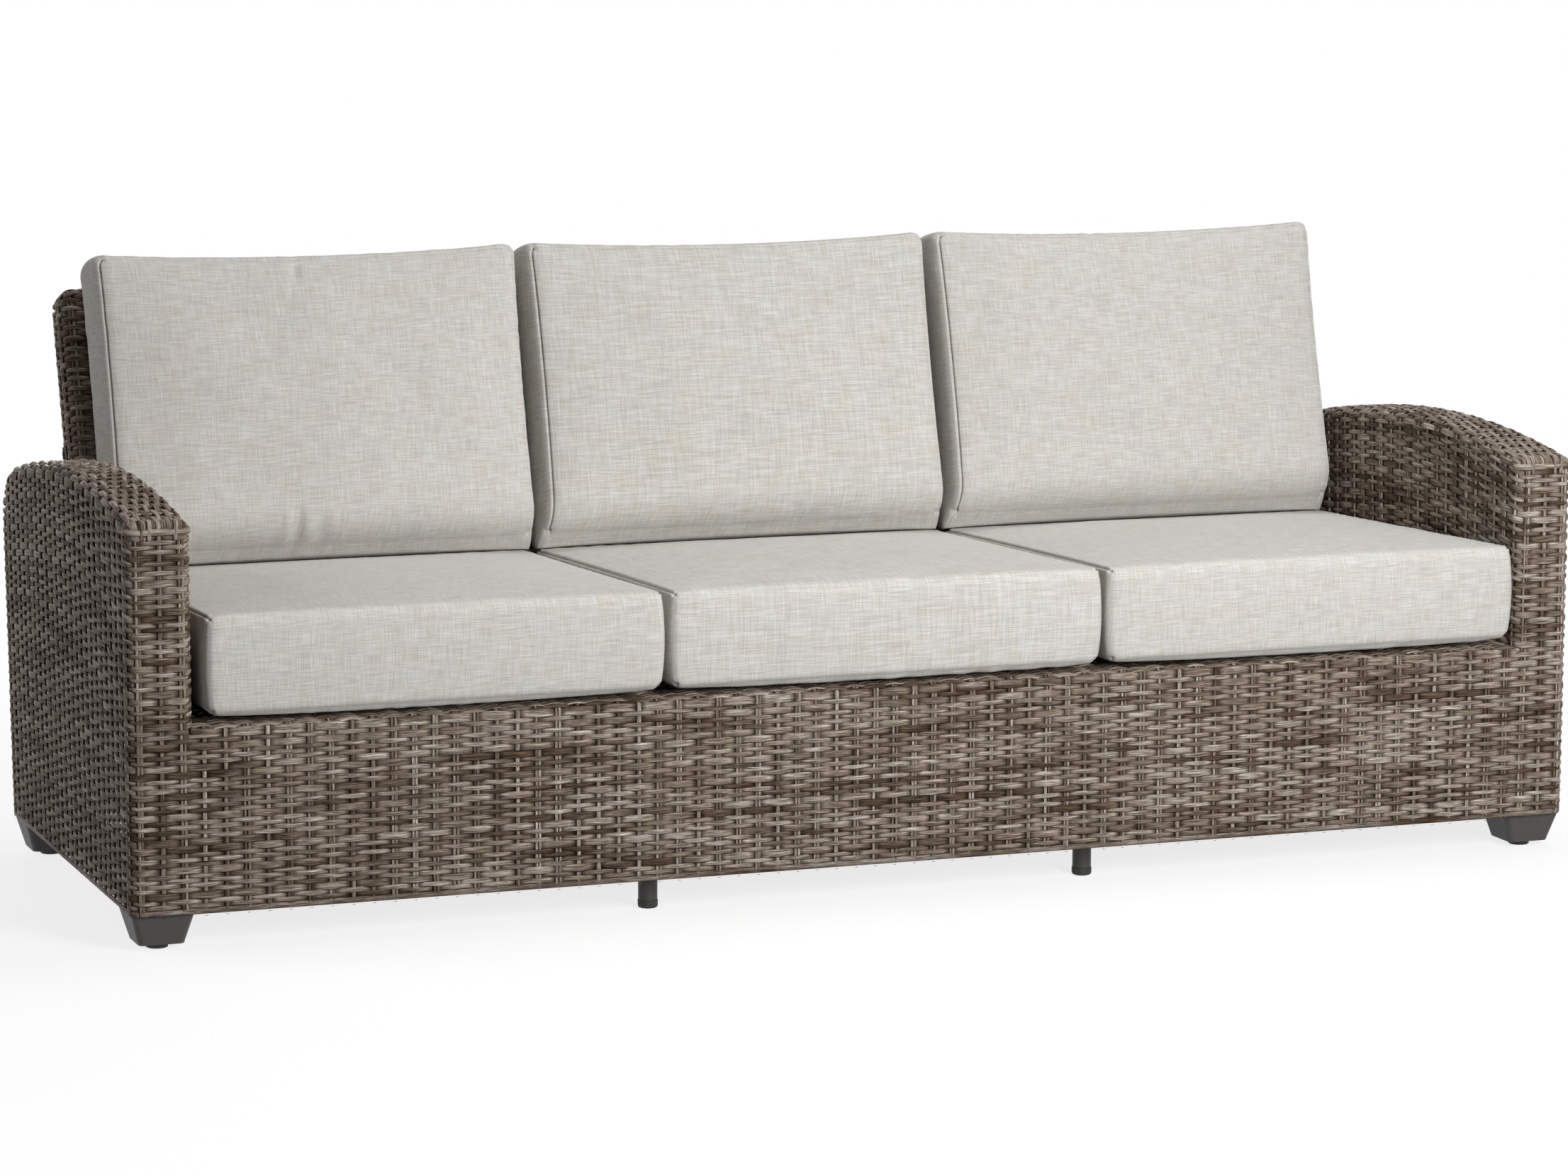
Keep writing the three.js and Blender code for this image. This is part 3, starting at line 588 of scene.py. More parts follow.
@dataclass(frozen=True)
class WeaveRule:
    """How the strands cross: each weaver goes over one stake and under the next."""

    stake_pitch: float = 30.4
    row_pitch: float = 7.7
    thick: float = 10.1
    thin: float = 6.4
    # A row wider than this is laid with the thicker strand
    thick_from: float = 8.0
    weaver_thickness: float = 3.5
    thin_share: float = 0.9
    thick_share: float = 1.08
    stake_thickness: float = 3.0
    stake_width: float = 7.0
    twin_width: float = 4.7
    twin_shift: float = 2.5
    stake_sink: float = 1.6
    stake_sway: float = 0.25
    stake_lift: float = 0.8
    double_share: float = 0.55
    swing: float = 2.15
    sink: float = 2.4
    peak_share: float = 0.16
    held_lift: float = 0.75
    drift: float = 0.16
    drift_knots: int = 3
    spread: float = 1.08
    over_spread: float = 0.1
    under_spread: float = 0.55
    spread_chance: float = 0.02
    samples: int = 6

    def rows(self, start: float, end: float, rng: np.random.Generator) -> tuple[Array, Array]:
        """Fill a length with rows: runs of thin strand, then one or two thick.

        Args:
            start: where the first row starts.
            end: where the last row ends.
            rng: the source of chance.

        Returns:
            The place of each row's middle, and its width.
        """
        length = end - start
        chosen: list[float] = []
        while sum(chosen) < length:
            chosen += [self.thin] * int(rng.integers(2, 5)) + [self.thick] * int(rng.integers(1, 3))
        while sum(chosen) > length + self.thin / 2:
            chosen.pop()
        widths = np.array(chosen) * (length / sum(chosen))
        return start + np.cumsum(widths) - widths / 2, widths

    def doubles(self, count: int, seed: int) -> Array:
        """Choose which stakes are two strands."""
        return np.random.default_rng(seed).random(count) < self.double_share

    def weave(self, pile: StrandPile, centre: Array, normal: Array, index: Array, width: float, row: int,
              closed: bool = False, hold: Array | float = 0.0, swing_share: Array | float = 1.0) -> None:
        """Lay one weaver over and under the stakes.

        A strand is drawn flat and wide over a stake and pinched where it crosses its neighbours.

        Args:
            pile: the strands of the piece.
            centre: points on the CAD skin's outer face.
            normal: its outward direction at each.
            index: how many stakes the weaver has passed at each; stakes stand at the halves.
            width: the strand's width.
            row: its number; the strands of odd and even rows pass a stake on opposite sides.
            closed: if the weaver is a loop.
            hold: from nought to one, how far it is held out instead of woven.
            swing_share: how much of its swing it has.
        """
        wave = (1 if row % 2 else -1) * np.sin(np.pi * index)
        crest = wave * (1 - self.peak_share + self.peak_share * wave * wave)
        crest = crest * swing_share * (1 - hold) + hold * self.held_lift
        order = np.arange(len(index))
        knots = np.arange(0, len(index) + self.drift_knots, self.drift_knots)
        drift = np.interp(order, knots, pile.rng.normal(0, self.drift, len(knots)))
        if closed:
            drift *= ease(np.minimum(order, len(index) - 1 - order), 0, 4)
        across = unit(np.cross(np.gradient(centre, axis=0), normal))
        spread = self.spread + np.where(wave > 0, self.over_spread, self.under_spread) * wave * wave
        shape = width * spread * (1 + self.spread_chance * pile.rng.normal())
        middle = centre + normal * (crest * self.swing - self.sink)[:, None] + across * drift[:, None]
        share = self.thin_share if width < self.thick_from else self.thick_share
        thickness = self.weaver_thickness * share
        # The lift darkens the weaver's colour where it dips under a stake: painted shade
        pile.lay(middle, normal, shape, thickness, closed, np.clip(0.5 + 0.5 * crest, 0, 1))

    def stake(self, pile: StrandPile, centre: Array, normal: Array, double: bool) -> None:
        """Lay one stake: a single flat strand, or two thin ones side by side.

        Args:
            pile: the strands of the piece.
            centre: points on the CAD skin's outer face.
            normal: its outward direction at each.
            double: if it is two strands.
        """
        across = unit(np.cross(np.gradient(centre, axis=0), normal))
        twins = [(-self.twin_shift, self.twin_width), (self.twin_shift, self.twin_width)]
        for shift, width in twins if double else [(0.0, self.stake_width)]:
            sway = pile.rng.normal(0, self.stake_sway)
            middle = centre - normal * self.stake_sink + across * (shift + sway)
            pile.lay(middle, normal, width, self.stake_thickness, lift=self.stake_lift)


RULE = WeaveRule()


def round_corners(a: Array, w: Array, low: float, high: float, thickness: float,
                  radius: float) -> tuple[Array, Array, Array, Array]:
    """Move a square-cornered loop onto round corners.

    Args:
        a: places along the slab.
        w: places through it, from nought to its thickness.
        low: where the slab starts.
        high: where it ends.
        thickness: the slab's thickness.
        radius: the corners' radius.

    Returns:
        The new a and w, and the outward direction's share of each.
    """
    inner_a = np.clip(a, low + radius, high - radius)
    inner_w = np.clip(w, radius, thickness - radius)
    da, dw = a - inner_a, w - inner_w
    wide, narrow = np.maximum(np.abs(da), np.abs(dw)), np.minimum(np.abs(da), np.abs(dw))
    turn = (np.pi / 4) * narrow / np.maximum(wide, 1e-6)
    more_a = np.abs(da) >= np.abs(dw)
    na = np.sign(da) * np.where(more_a, np.cos(turn), np.sin(turn))
    nw = np.sign(dw) * np.where(more_a, np.sin(turn), np.cos(turn))
    return inner_a + radius * na, inner_w + radius * nw, na, nw


def path_normals(path: Array) -> Array:
    """Give the outward direction along an outline that runs up, over and down."""
    tangent = unit(np.gradient(path, axis=0))
    return columns(-tangent[:, 1], tangent[:, 0])


def travelled(path: Array) -> Array:
    """How far along a path each of its points lies."""
    return np.concatenate([[0], np.cumsum(np.linalg.norm(np.diff(path, axis=0), axis=1))])


def resampled(path: Array, spacing: float) -> Array:
    """Spread points evenly along a path.

    Args:
        path: its points, one row each.
        spacing: how far apart the new points are, nearly.

    Returns:
        The new points.
    """
    travel = travelled(path)
    count = max(int(round(travel[-1] / spacing)), 2)
    at = np.linspace(0, travel[-1], count + 1)
    return columns(*(np.interp(at, travel, values) for values in path.T))


def arc(centre: tuple[float, float], radius: float, start: float, end: float, count: int = 10) -> Array:
    """Points on an arc, from a start to an end angle in radians."""
    turn = np.linspace(start, end, count + 1)
    return columns(centre[0] + radius * np.cos(turn), centre[1] + radius * np.sin(turn))


@dataclass
class WovenSlab:
    """A slab with round edges that is woven over: loops round it, rows along its top and stakes across it.

    Its own axes are a, along it, b, up it, and w, through it from its first face.
    """

    thickness: float
    stakes: int
    end_stakes: int
    low: float
    radius: float = SOFA.edge_radius
    # Stakes follow this many points over the top, and one point for each step up a face
    top_spots: int = 13
    climb_step: float = 14.0
    top_row_spread: tuple[float, float] = (0.9, 1.12)

    def outline(self, inset: float) -> Array:
        """The slab's edge seen from its face, as rows of a and b, from one foot over the top to the other."""
        raise NotImplementedError

    def straight(self, b: Array) -> tuple[Array, Array]:
        """Where the slab's two edges are at a height, without their top corners."""
        raise NotImplementedError

    def top_line(self, a: Array) -> Array:
        """The height of the top, without its corners."""
        raise NotImplementedError

    def place(self, a: Array, b: Array, w: Array) -> Array:
        """Turn the slab's own axes into millimetres of the sofa."""
        raise NotImplementedError

    def direction(self, a: Array, b: Array, w: Array) -> Array:
        """Turn a direction in the slab's own axes into one of the sofa."""
        raise NotImplementedError

    def height(self, share: float, a: Array) -> Array:
        """The height of a row: rows lie evenly from the foot to the line where the top starts to round."""
        return self.low + share * (self.top_line(a) - self.radius - self.low)

    def ends(self, share: float) -> list[float]:
        """Find where a row turns round each edge.

        Args:
            share: how far up the slab the row lies, from nought to one.

        Returns:
            Two places along the slab.
        """
        path = self.outline(0)
        peak = int(np.argmax(path[:, 1]))
        found = []
        for edge, a in zip((path[: peak + 1], path[peak:][::-1]), self.straight(np.array(self.low))):
            # The row's height there depends on the place, so it is found by steps
            for _ in range(12):
                a = np.interp(self.height(share, a), edge[:, 1], edge[:, 0])
            found.append(float(a))
        return found

    def index_at(self, a: Array, b: Array) -> Array:
        """How many stakes lie before a place on the face."""
        start, end = self.straight(b)
        return self.stakes * (a - start) / (end - start)

    def face_run(self, share: float) -> tuple[Array, Array, Array]:
        """One row across a face.

        Args:
            share: how far up the slab the row lies, from nought to one.

        Returns:
            The stake count, a and b along it.
        """
        first, last = self.ends(share)
        low, high = (float(self.index_at(x, self.height(share, x))) for x in (first, last))
        index = np.linspace(low, high, max(int(round((high - low) * RULE.samples)), 4) + 1)
        a = np.linspace(first, last, len(index))
        for _ in range(4):
            start, end = self.straight(self.height(share, a))
            a = start + index / self.stakes * (end - start)
        return index, a, self.height(share, a)

    def loop(self, share: float) -> tuple[Array, Array, Array, Array]:
        """One closed row round the slab.

        Args:
            share: how far up the slab the row lies.

        Returns:
            Its points, outward directions, stake counts and share of the swing.
        """
        index, a, b = self.face_run(share)
        first, last = a[0], a[-1]
        n, m = self.stakes, self.end_stakes
        across = np.linspace(0, 1, m * RULE.samples + 1)[1:-1]
        swing = ease(np.minimum(index - index[0], index[-1] - index), -0.4, 0.3)
        a, b, w, index, swing = np.concatenate([
            columns(a, b, 0.0, index, swing),
            columns(last, b[-1], across * self.thickness, n + m * across, 1.0),
            columns(a[::-1], b[::-1], self.thickness, 2 * n + m - index[::-1], swing[::-1]),
            columns(first, b[0], (1 - across) * self.thickness, 2 * n + m + m * across, 1.0),
        ]).T
        a, w, na, nw = round_corners(a, w, first, last, self.thickness, self.radius)
        return self.place(a, b, w), self.direction(na, 0 * na, nw), index, swing

    @property
    def over_top(self) -> float:
        """The length over the rounded top, from face to face."""
        return self.radius * math.pi + self.thickness - 2 * self.radius

    def edge_spot(self, across: float) -> tuple[float, float, float, float]:
        """A line along the slab's rounded top.

        Args:
            across: how far it lies over the top from where the first face ends, in millimetres.

        Returns:
            Its inset from the outline, its w, and the outward direction's share upwards and through the slab.
        """
        quarter = self.radius * math.pi / 2
        flat = self.thickness - 2 * self.radius
        if across < quarter:
            up, out = math.sin(across / self.radius), math.cos(across / self.radius)
            return self.radius * (1 - up), self.radius * (1 - out), up, -out
        if across < quarter + flat:
            return 0.0, self.radius + across - quarter, 1.0, 0.0
        inset, w, up, out = self.edge_spot(2 * quarter + flat - across)
        return inset, self.thickness - w, up, -out

    def crossing(self, share: float, spots: list[tuple], paths: dict[float, Array]) -> Array:
        """Where one stake crosses the rounded top.

        Args:
            share: how far along the slab the stake stands, from nought to one.
            spots: the lines along the top that it crosses.
            paths: the slab's outline at each line's inset.

        Returns:
            One row for each spot: a, b, w and the outward direction.
        """
        start, end = self.straight(self.top_line(np.array(share * self.straight(0.0)[1])))
        top_a = float(start + share * (end - start))
        rows = []
        for inset, w, up, out in spots:
            path = paths[inset]
            inside = np.where(path[:, 1] > self.low + 0.7 * (path[:, 1].max() - self.low))[0]
            at = inside[np.argmin(np.abs(path[inside, 0] - top_a))]
            normal = path_normals(path)[at]
            rows.append((path[at, 0], path[at, 1], w, normal[0] * up, normal[1] * up, out))
        return np.array(rows)

    def lay_stakes(self, pile: StrandPile, doubles: Array, feet: tuple[float, float]) -> None:
        """Lay the stakes that climb one face, cross the top and come down the other.

        Args:
            pile: the strands of the piece.
            doubles: which stakes are two strands.
            feet: the height at which each end of a stake stops.
        """
        spots = [self.edge_spot(x) for x in np.linspace(0, self.over_top, self.top_spots)]
        paths = {spot[0]: self.outline(spot[0]) for spot in spots}
        for k in range(self.stakes):
            share = (k + 0.5) / self.stakes
            crossing = self.crossing(share, spots, paths)
            legs = []
            for foot, spot, w, out in (
                (feet[0], crossing[0], 0.0, -1.0), (feet[1], crossing[-1], self.thickness, 1.0),
            ):
                climb = np.linspace(foot, spot[1], max(int((spot[1] - foot) / self.climb_step), 2) + 1)[:-1]
                first, last = self.straight(np.array(foot))
                foot_a = float(first + share * (last - first))
                a = np.interp(climb, [foot, spot[1]], [foot_a, spot[0]])
                legs.append(columns(a, climb, w, 0.0, 0.0, out))
            a, b, w, na, nb, nw = np.concatenate([legs[0], crossing, legs[1][::-1]]).T
            RULE.stake(pile, self.place(a, b, w), unit(self.direction(na, nb, nw)), bool(doubles[k]))

    def lay_top_rows(self, pile: StrandPile, fold: tuple[float, float], held: bool) -> None:
        """Lay the rows that run along the top, folded down at each end.

        Args:
            pile: the strands of the piece.
            fold: the height at which each end stops.
            held: if the first end is held out, side by side, and not woven.
        """
        rows = max(int(round(self.over_top / RULE.row_pitch)), 2)
        for row in range(rows):
            inset, w, up, out = self.edge_spot((row + 0.5) * self.over_top / rows)
            path = self.outline(inset)
            before = np.arange(len(path)) <= int(np.argmax(path[:, 1]))
            path = path[path[:, 1] >= np.where(before, fold[0], fold[1])]
            a, b = resampled(path, RULE.stake_pitch / RULE.samples).T
            normal_a, normal_b = path_normals(columns(a, b)).T
            index = np.clip(self.index_at(a, np.minimum(b, self.top_line(a))), 0, self.stakes)
            # Every other held strand goes under a little sooner
            release = (0.1, 0.6) if row % 2 else (0.3, 1.0)
            hold = 1 - ease(index, *release) if held else 0.0
            facing = unit(self.direction(normal_a * up, normal_b * up, 0 * a + out))
            width = self.over_top / rows * pile.rng.uniform(*self.top_row_spread)
            place = self.place(a, b, 0 * a + w)
            RULE.weave(pile, place, facing, index, width, row, hold=hold)


@dataclass
class ArmSlab(WovenSlab):
    """One woven arm: an arched slab with a straight front edge and a leaning rear edge."""

    side: int = 1

    @property
    def front_top(self) -> float:
        """The height at which the woven rows of the front end."""
        return float(self.height(1.0, 0.0))

    def fillet(self, edge: Array, run: Array, out: Array, radius: float, arch: float) -> Array:
        """Find the centre of a corner between the arch and a straight edge.

        Args:
            edge: a point on the edge.
            run: the edge's direction.
            out: the edge's outward direction.
            radius: the corner's radius.
            arch: the arch's radius.

        Returns:
            The centre, as a and b.
        """
        centre = np.array([SOFA.arch_apex, SOFA.arm_height - SOFA.arch_radius])
        start = edge - out * radius - centre
        along = start @ run
        reach = arch - radius
        travel = -along + math.sqrt(along * along - start @ start + reach * reach)
        return start + run * travel + centre

    def outline(self, inset: float) -> Array:
        """Draw the arm's side view, set in by a given amount.

        Args:
            inset: how far it is set in.

        Returns:
            Rows of a and b, up the front edge, over the arch and down the rear edge.
        """
        arch = SOFA.arch_radius - inset
        centre = np.array([SOFA.arch_apex, SOFA.arm_height - SOFA.arch_radius])
        front, rear = (max(r - inset, 0.5) for r in (SOFA.front_corner, SOFA.rear_corner))
        sine, cosine = math.sin(SOFA.arm_lean), math.cos(SOFA.arm_lean)
        lean_run, lean_out = np.array([sine, cosine]), np.array([cosine, -sine])
        front_centre = self.fillet(
            np.array([inset, 0.0]), np.array([0.0, 1.0]), np.array([-1.0, 0.0]), front, arch)
        rear_edge = np.array([SOFA.arm_depth, SOFA.hem]) - lean_out * inset
        rear_centre = self.fillet(rear_edge, lean_run, lean_out, rear, arch)
        front_turn, rear_turn = (math.atan2(*(c - centre)[::-1]) for c in (front_centre, rear_centre))
        return np.concatenate([
            columns(inset, np.linspace(self.low, front_centre[1], 20))[:-1],
            arc(tuple(front_centre), front, math.pi, front_turn),
            arc(tuple(centre), arch, front_turn, rear_turn, 140)[1:-1],
            arc(tuple(rear_centre), rear, rear_turn, -SOFA.arm_lean, 24),
            [[SOFA.arm_depth - inset / cosine, self.low]],
        ])

    def straight(self, b: Array) -> tuple[Array, Array]:
        """The upright front edge and the leaning rear edge."""
        return np.zeros_like(b, float), SOFA.arm_depth + (np.asarray(b) - SOFA.hem) * math.tan(SOFA.arm_lean)

    def top_line(self, a: Array) -> Array:
        """The arch."""
        reach = np.asarray(a, float) - SOFA.arch_apex
        return SOFA.arm_height - SOFA.arch_radius + np.sqrt(SOFA.arch_radius**2 - reach**2)

    def place(self, a: Array, b: Array, w: Array) -> Array:
        """The first face is the arm's outer face."""
        return columns(self.side * (SOFA.half_width - w), a, b)

    def direction(self, a: Array, b: Array, w: Array) -> Array:
        """A direction of the arm in the sofa's axes."""
        return columns(-self.side * w, a, b)


@dataclass
class BackSlab(WovenSlab):
    """The woven back: a raked slab between the arms, with its first face towards the seat."""

    def outline(self, inset: float) -> Array:
        """Draw the back seen from the front, set in by a given amount.

        Args:
            inset: how far it is set in.

        Returns:
            Rows of a and b, up one end, along the top and down the other.
        """
        corner = max(SOFA.back_corner - inset, 0.5)
        top = SOFA.back_length - inset
        left, right = inset, 2 * SOFA.arm_inner - inset
        return np.concatenate([
            [[left, self.low]],
            arc((left + corner, top - corner), corner, math.pi, math.pi / 2),
            columns(np.linspace(left + corner, right - corner, 420), top)[1:-1],
            arc((right - corner, top - corner), corner, math.pi / 2, 0),
            [[right, self.low]],
        ])

    def straight(self, b: Array) -> tuple[Array, Array]:
        """The two upright ends."""
        return np.zeros_like(b, float), np.zeros_like(b, float) + 2 * SOFA.arm_inner

    def top_line(self, a: Array) -> Array:
        """The level top."""
        return np.zeros_like(a, float) + SOFA.back_length

    def place(self, a: Array, b: Array, w: Array) -> Array:
        """Stand the slab on the deck and rake it."""
        return self.direction(a, b, w) + np.array([-SOFA.arm_inner, SOFA.deck_depth, SOFA.deck])

    def direction(self, a: Array, b: Array, w: Array) -> Array:
        """A direction of the back in the sofa's axes."""
        sine, cosine = math.sin(SOFA.back_rake), math.cos(SOFA.back_rake)
        return columns(a, b * sine + w * cosine, b * cosine - w * sine)


FRONT_STAKES = 74
ARM_FACE_STAKES = 26
ARM_END_STAKES = 3
BACK_END_STAKES = 2
# How far a stake's cut end stays inside the edge that hides it
STAKE_INSET = 2.0


@dataclass
class WovenArms:
    """Both arms: loops above the deck, rows over the arch, stakes, and a trim over the folded front ends."""

    palette: Palette
    seed: int = 11
    # How far the folded strands and the front stakes run on past the last woven row
    fold_over: float = 4.0
    stake_below_deck: float = 8.0
    trim_width: float = 9.5
    trim_thickness: float = 3.4
    trim_clear: float = 0.6
    trim_reach: float = 30.0
    trim_lift: float = 1.3
    trim_dive: float = 5.0
    trim_dive_from: float = 14.0
    trim_dive_to: float = 28.0
    wrap_width: float = 6.4
    wrap_thickness: float = 3.0
    # A wrap comes out of the arm's top, bends over the front corner and goes in below the trim
    wrap_start: float = 26.0
    wrap_bend: float = 10.0
    wrap_proud: float = 2.0
    wrap_above: float = 9.0
    wrap_below: float = 6.0
    wrap_slope: float = 1.6
    wrap_arch: float = 1.8
    wrap_sink: float = 1.4
    # Where each wrap crosses the arm's front, from its outer face, and how far it leans
    wraps: tuple[tuple[float, float], ...] = ((19.0, 3.0), (34.0, -2.0), (SOFA.arm_width - 20.0, -3.0))

    def slab(self, side: int) -> ArmSlab:
        """The arm on one side."""
        return ArmSlab(SOFA.arm_width, ARM_FACE_STAKES, ARM_END_STAKES, SOFA.hem, side=side)

    def rows(self) -> tuple[Array, Array, Array]:
        """Space the rows at the front, from the hem strand up.

        Returns:
            Their heights, their shares of the way up the arm, and their widths.
        """
        top = self.slab(1).front_top
        start = SOFA.hem + SOFA.hem_strand
        heights, widths = RULE.rows(start, top, np.random.default_rng(self.seed))
        return heights, (heights - SOFA.hem) / (top - SOFA.hem), widths

    def build(self) -> None:
        """Lay both arms' strands."""
        for name, side in (("left", -1), ("right", 1)):
            arm = self.slab(side)
            # The left arm mirrors the right one, so its rows pass each stake on the other side
            mirrored = 1 if side < 0 else 0
            loops = seeded(self.seed + 10 + side)
            for row, (height, share, width) in enumerate(zip(*self.rows())):
                if height > SOFA.deck - SOFA.lip_radius:
                    points, normals, index, swing = arm.loop(share)
                    RULE.weave(loops, points, normals, index, width, row + mirrored, closed=True,
                               swing_share=swing)
            fold = (arm.front_top + self.fold_over, float(arm.height(1.0, arm.ends(1.0)[1])))
            arm.lay_top_rows(loops, fold, held=True)
            self.lay_trim(loops, arm)
            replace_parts(loops.build(f"arm_weavers_{name}", self.palette.resin), f"arm_weave_{name}")
            stakes = seeded(self.seed + 20 + side)
            feet = (SOFA.hem + STAKE_INSET, SOFA.deck - self.stake_below_deck)
            arm.lay_stakes(stakes, RULE.doubles(ARM_FACE_STAKES, self.seed + 3), feet)
            self.lay_end_stakes(stakes, arm)
            stakes.build(f"arm_stakes_{name}", self.palette.resin)

    def lay_end_stakes(self, pile: StrandPile, arm: ArmSlab) -> None:
        """Lay the upright stakes on an arm's front and rear edge.

        Args:
            pile: the strands of the piece.
            arm: the arm.
        """
        path = arm.outline(0)
        front = columns(0.0, np.linspace(SOFA.hem + STAKE_INSET, arm.front_top + self.fold_over, 40))
        # The rear stakes start on the last fourteen points of the corner's arc
        rear = resampled(path[int(np.argmax(path[:, 0])) - 14 :], arm.climb_step)
        for (a, b), (na, nb) in ((front.T, (-1.0, 0.0)), (rear.T, path_normals(rear).T)):
            for k in range(arm.end_stakes):
                w = 0 * a + arm.thickness * (k + 0.5) / arm.end_stakes
                facing = arm.direction(0 * a + na, 0 * a + nb, 0 * a)
                RULE.stake(pile, arm.place(a, b, w), facing, k != 1)

    def lay_trim(self, pile: StrandPile, arm: ArmSlab) -> None:
        """Lay the strand that holds the folded front ends, and the wraps over it.

        Args:
            pile: the strands of the piece.
            arm: the arm.
        """
        top = arm.front_top
        reach = np.linspace(self.trim_reach, 0, 7)[:-1]
        a = np.concatenate([reach, np.zeros(19), reach[::-1]])
        w = np.concatenate([0 * reach, np.linspace(0, arm.thickness, 19), 0 * reach + arm.thickness])
        a, w, na, nw = round_corners(a, w, 0, SOFA.arm_depth, arm.thickness, arm.radius)
        b = 0 * a + (top + self.trim_width / 2 + self.trim_clear)
        facing = arm.direction(na, 0 * na, nw)
        lift = self.trim_lift - self.trim_dive * ease(a, self.trim_dive_from, self.trim_dive_to)
        pile.lay(arm.place(a, b, w) + facing * lift[:, None], facing, self.trim_width, self.trim_thickness)
        start = top + self.wrap_above
        wrap = np.concatenate([
            columns(np.linspace(self.wrap_start, 9, 5), start + 10 + np.linspace(self.wrap_slope, 0, 5))[:-1],
            arc((self.wrap_bend - self.wrap_proud, start + 2), self.wrap_bend, math.pi / 2, math.pi, 6),
            columns(-self.wrap_proud, np.linspace(start, top - self.wrap_below, 5))])
        normal_a, normal_b = path_normals(wrap[::-1])[::-1].T
        turn = np.linspace(0, 1, len(wrap))
        rise = self.wrap_arch * np.sin(np.pi * turn) - self.wrap_sink
        for corner, lean in self.wraps:
            across = corner + lean * turn
            facing = arm.direction(normal_a, normal_b, 0 * across)
            place = arm.place(*wrap.T, across) + facing * rise[:, None]
            pile.lay(place, facing, self.wrap_width, self.wrap_thickness)


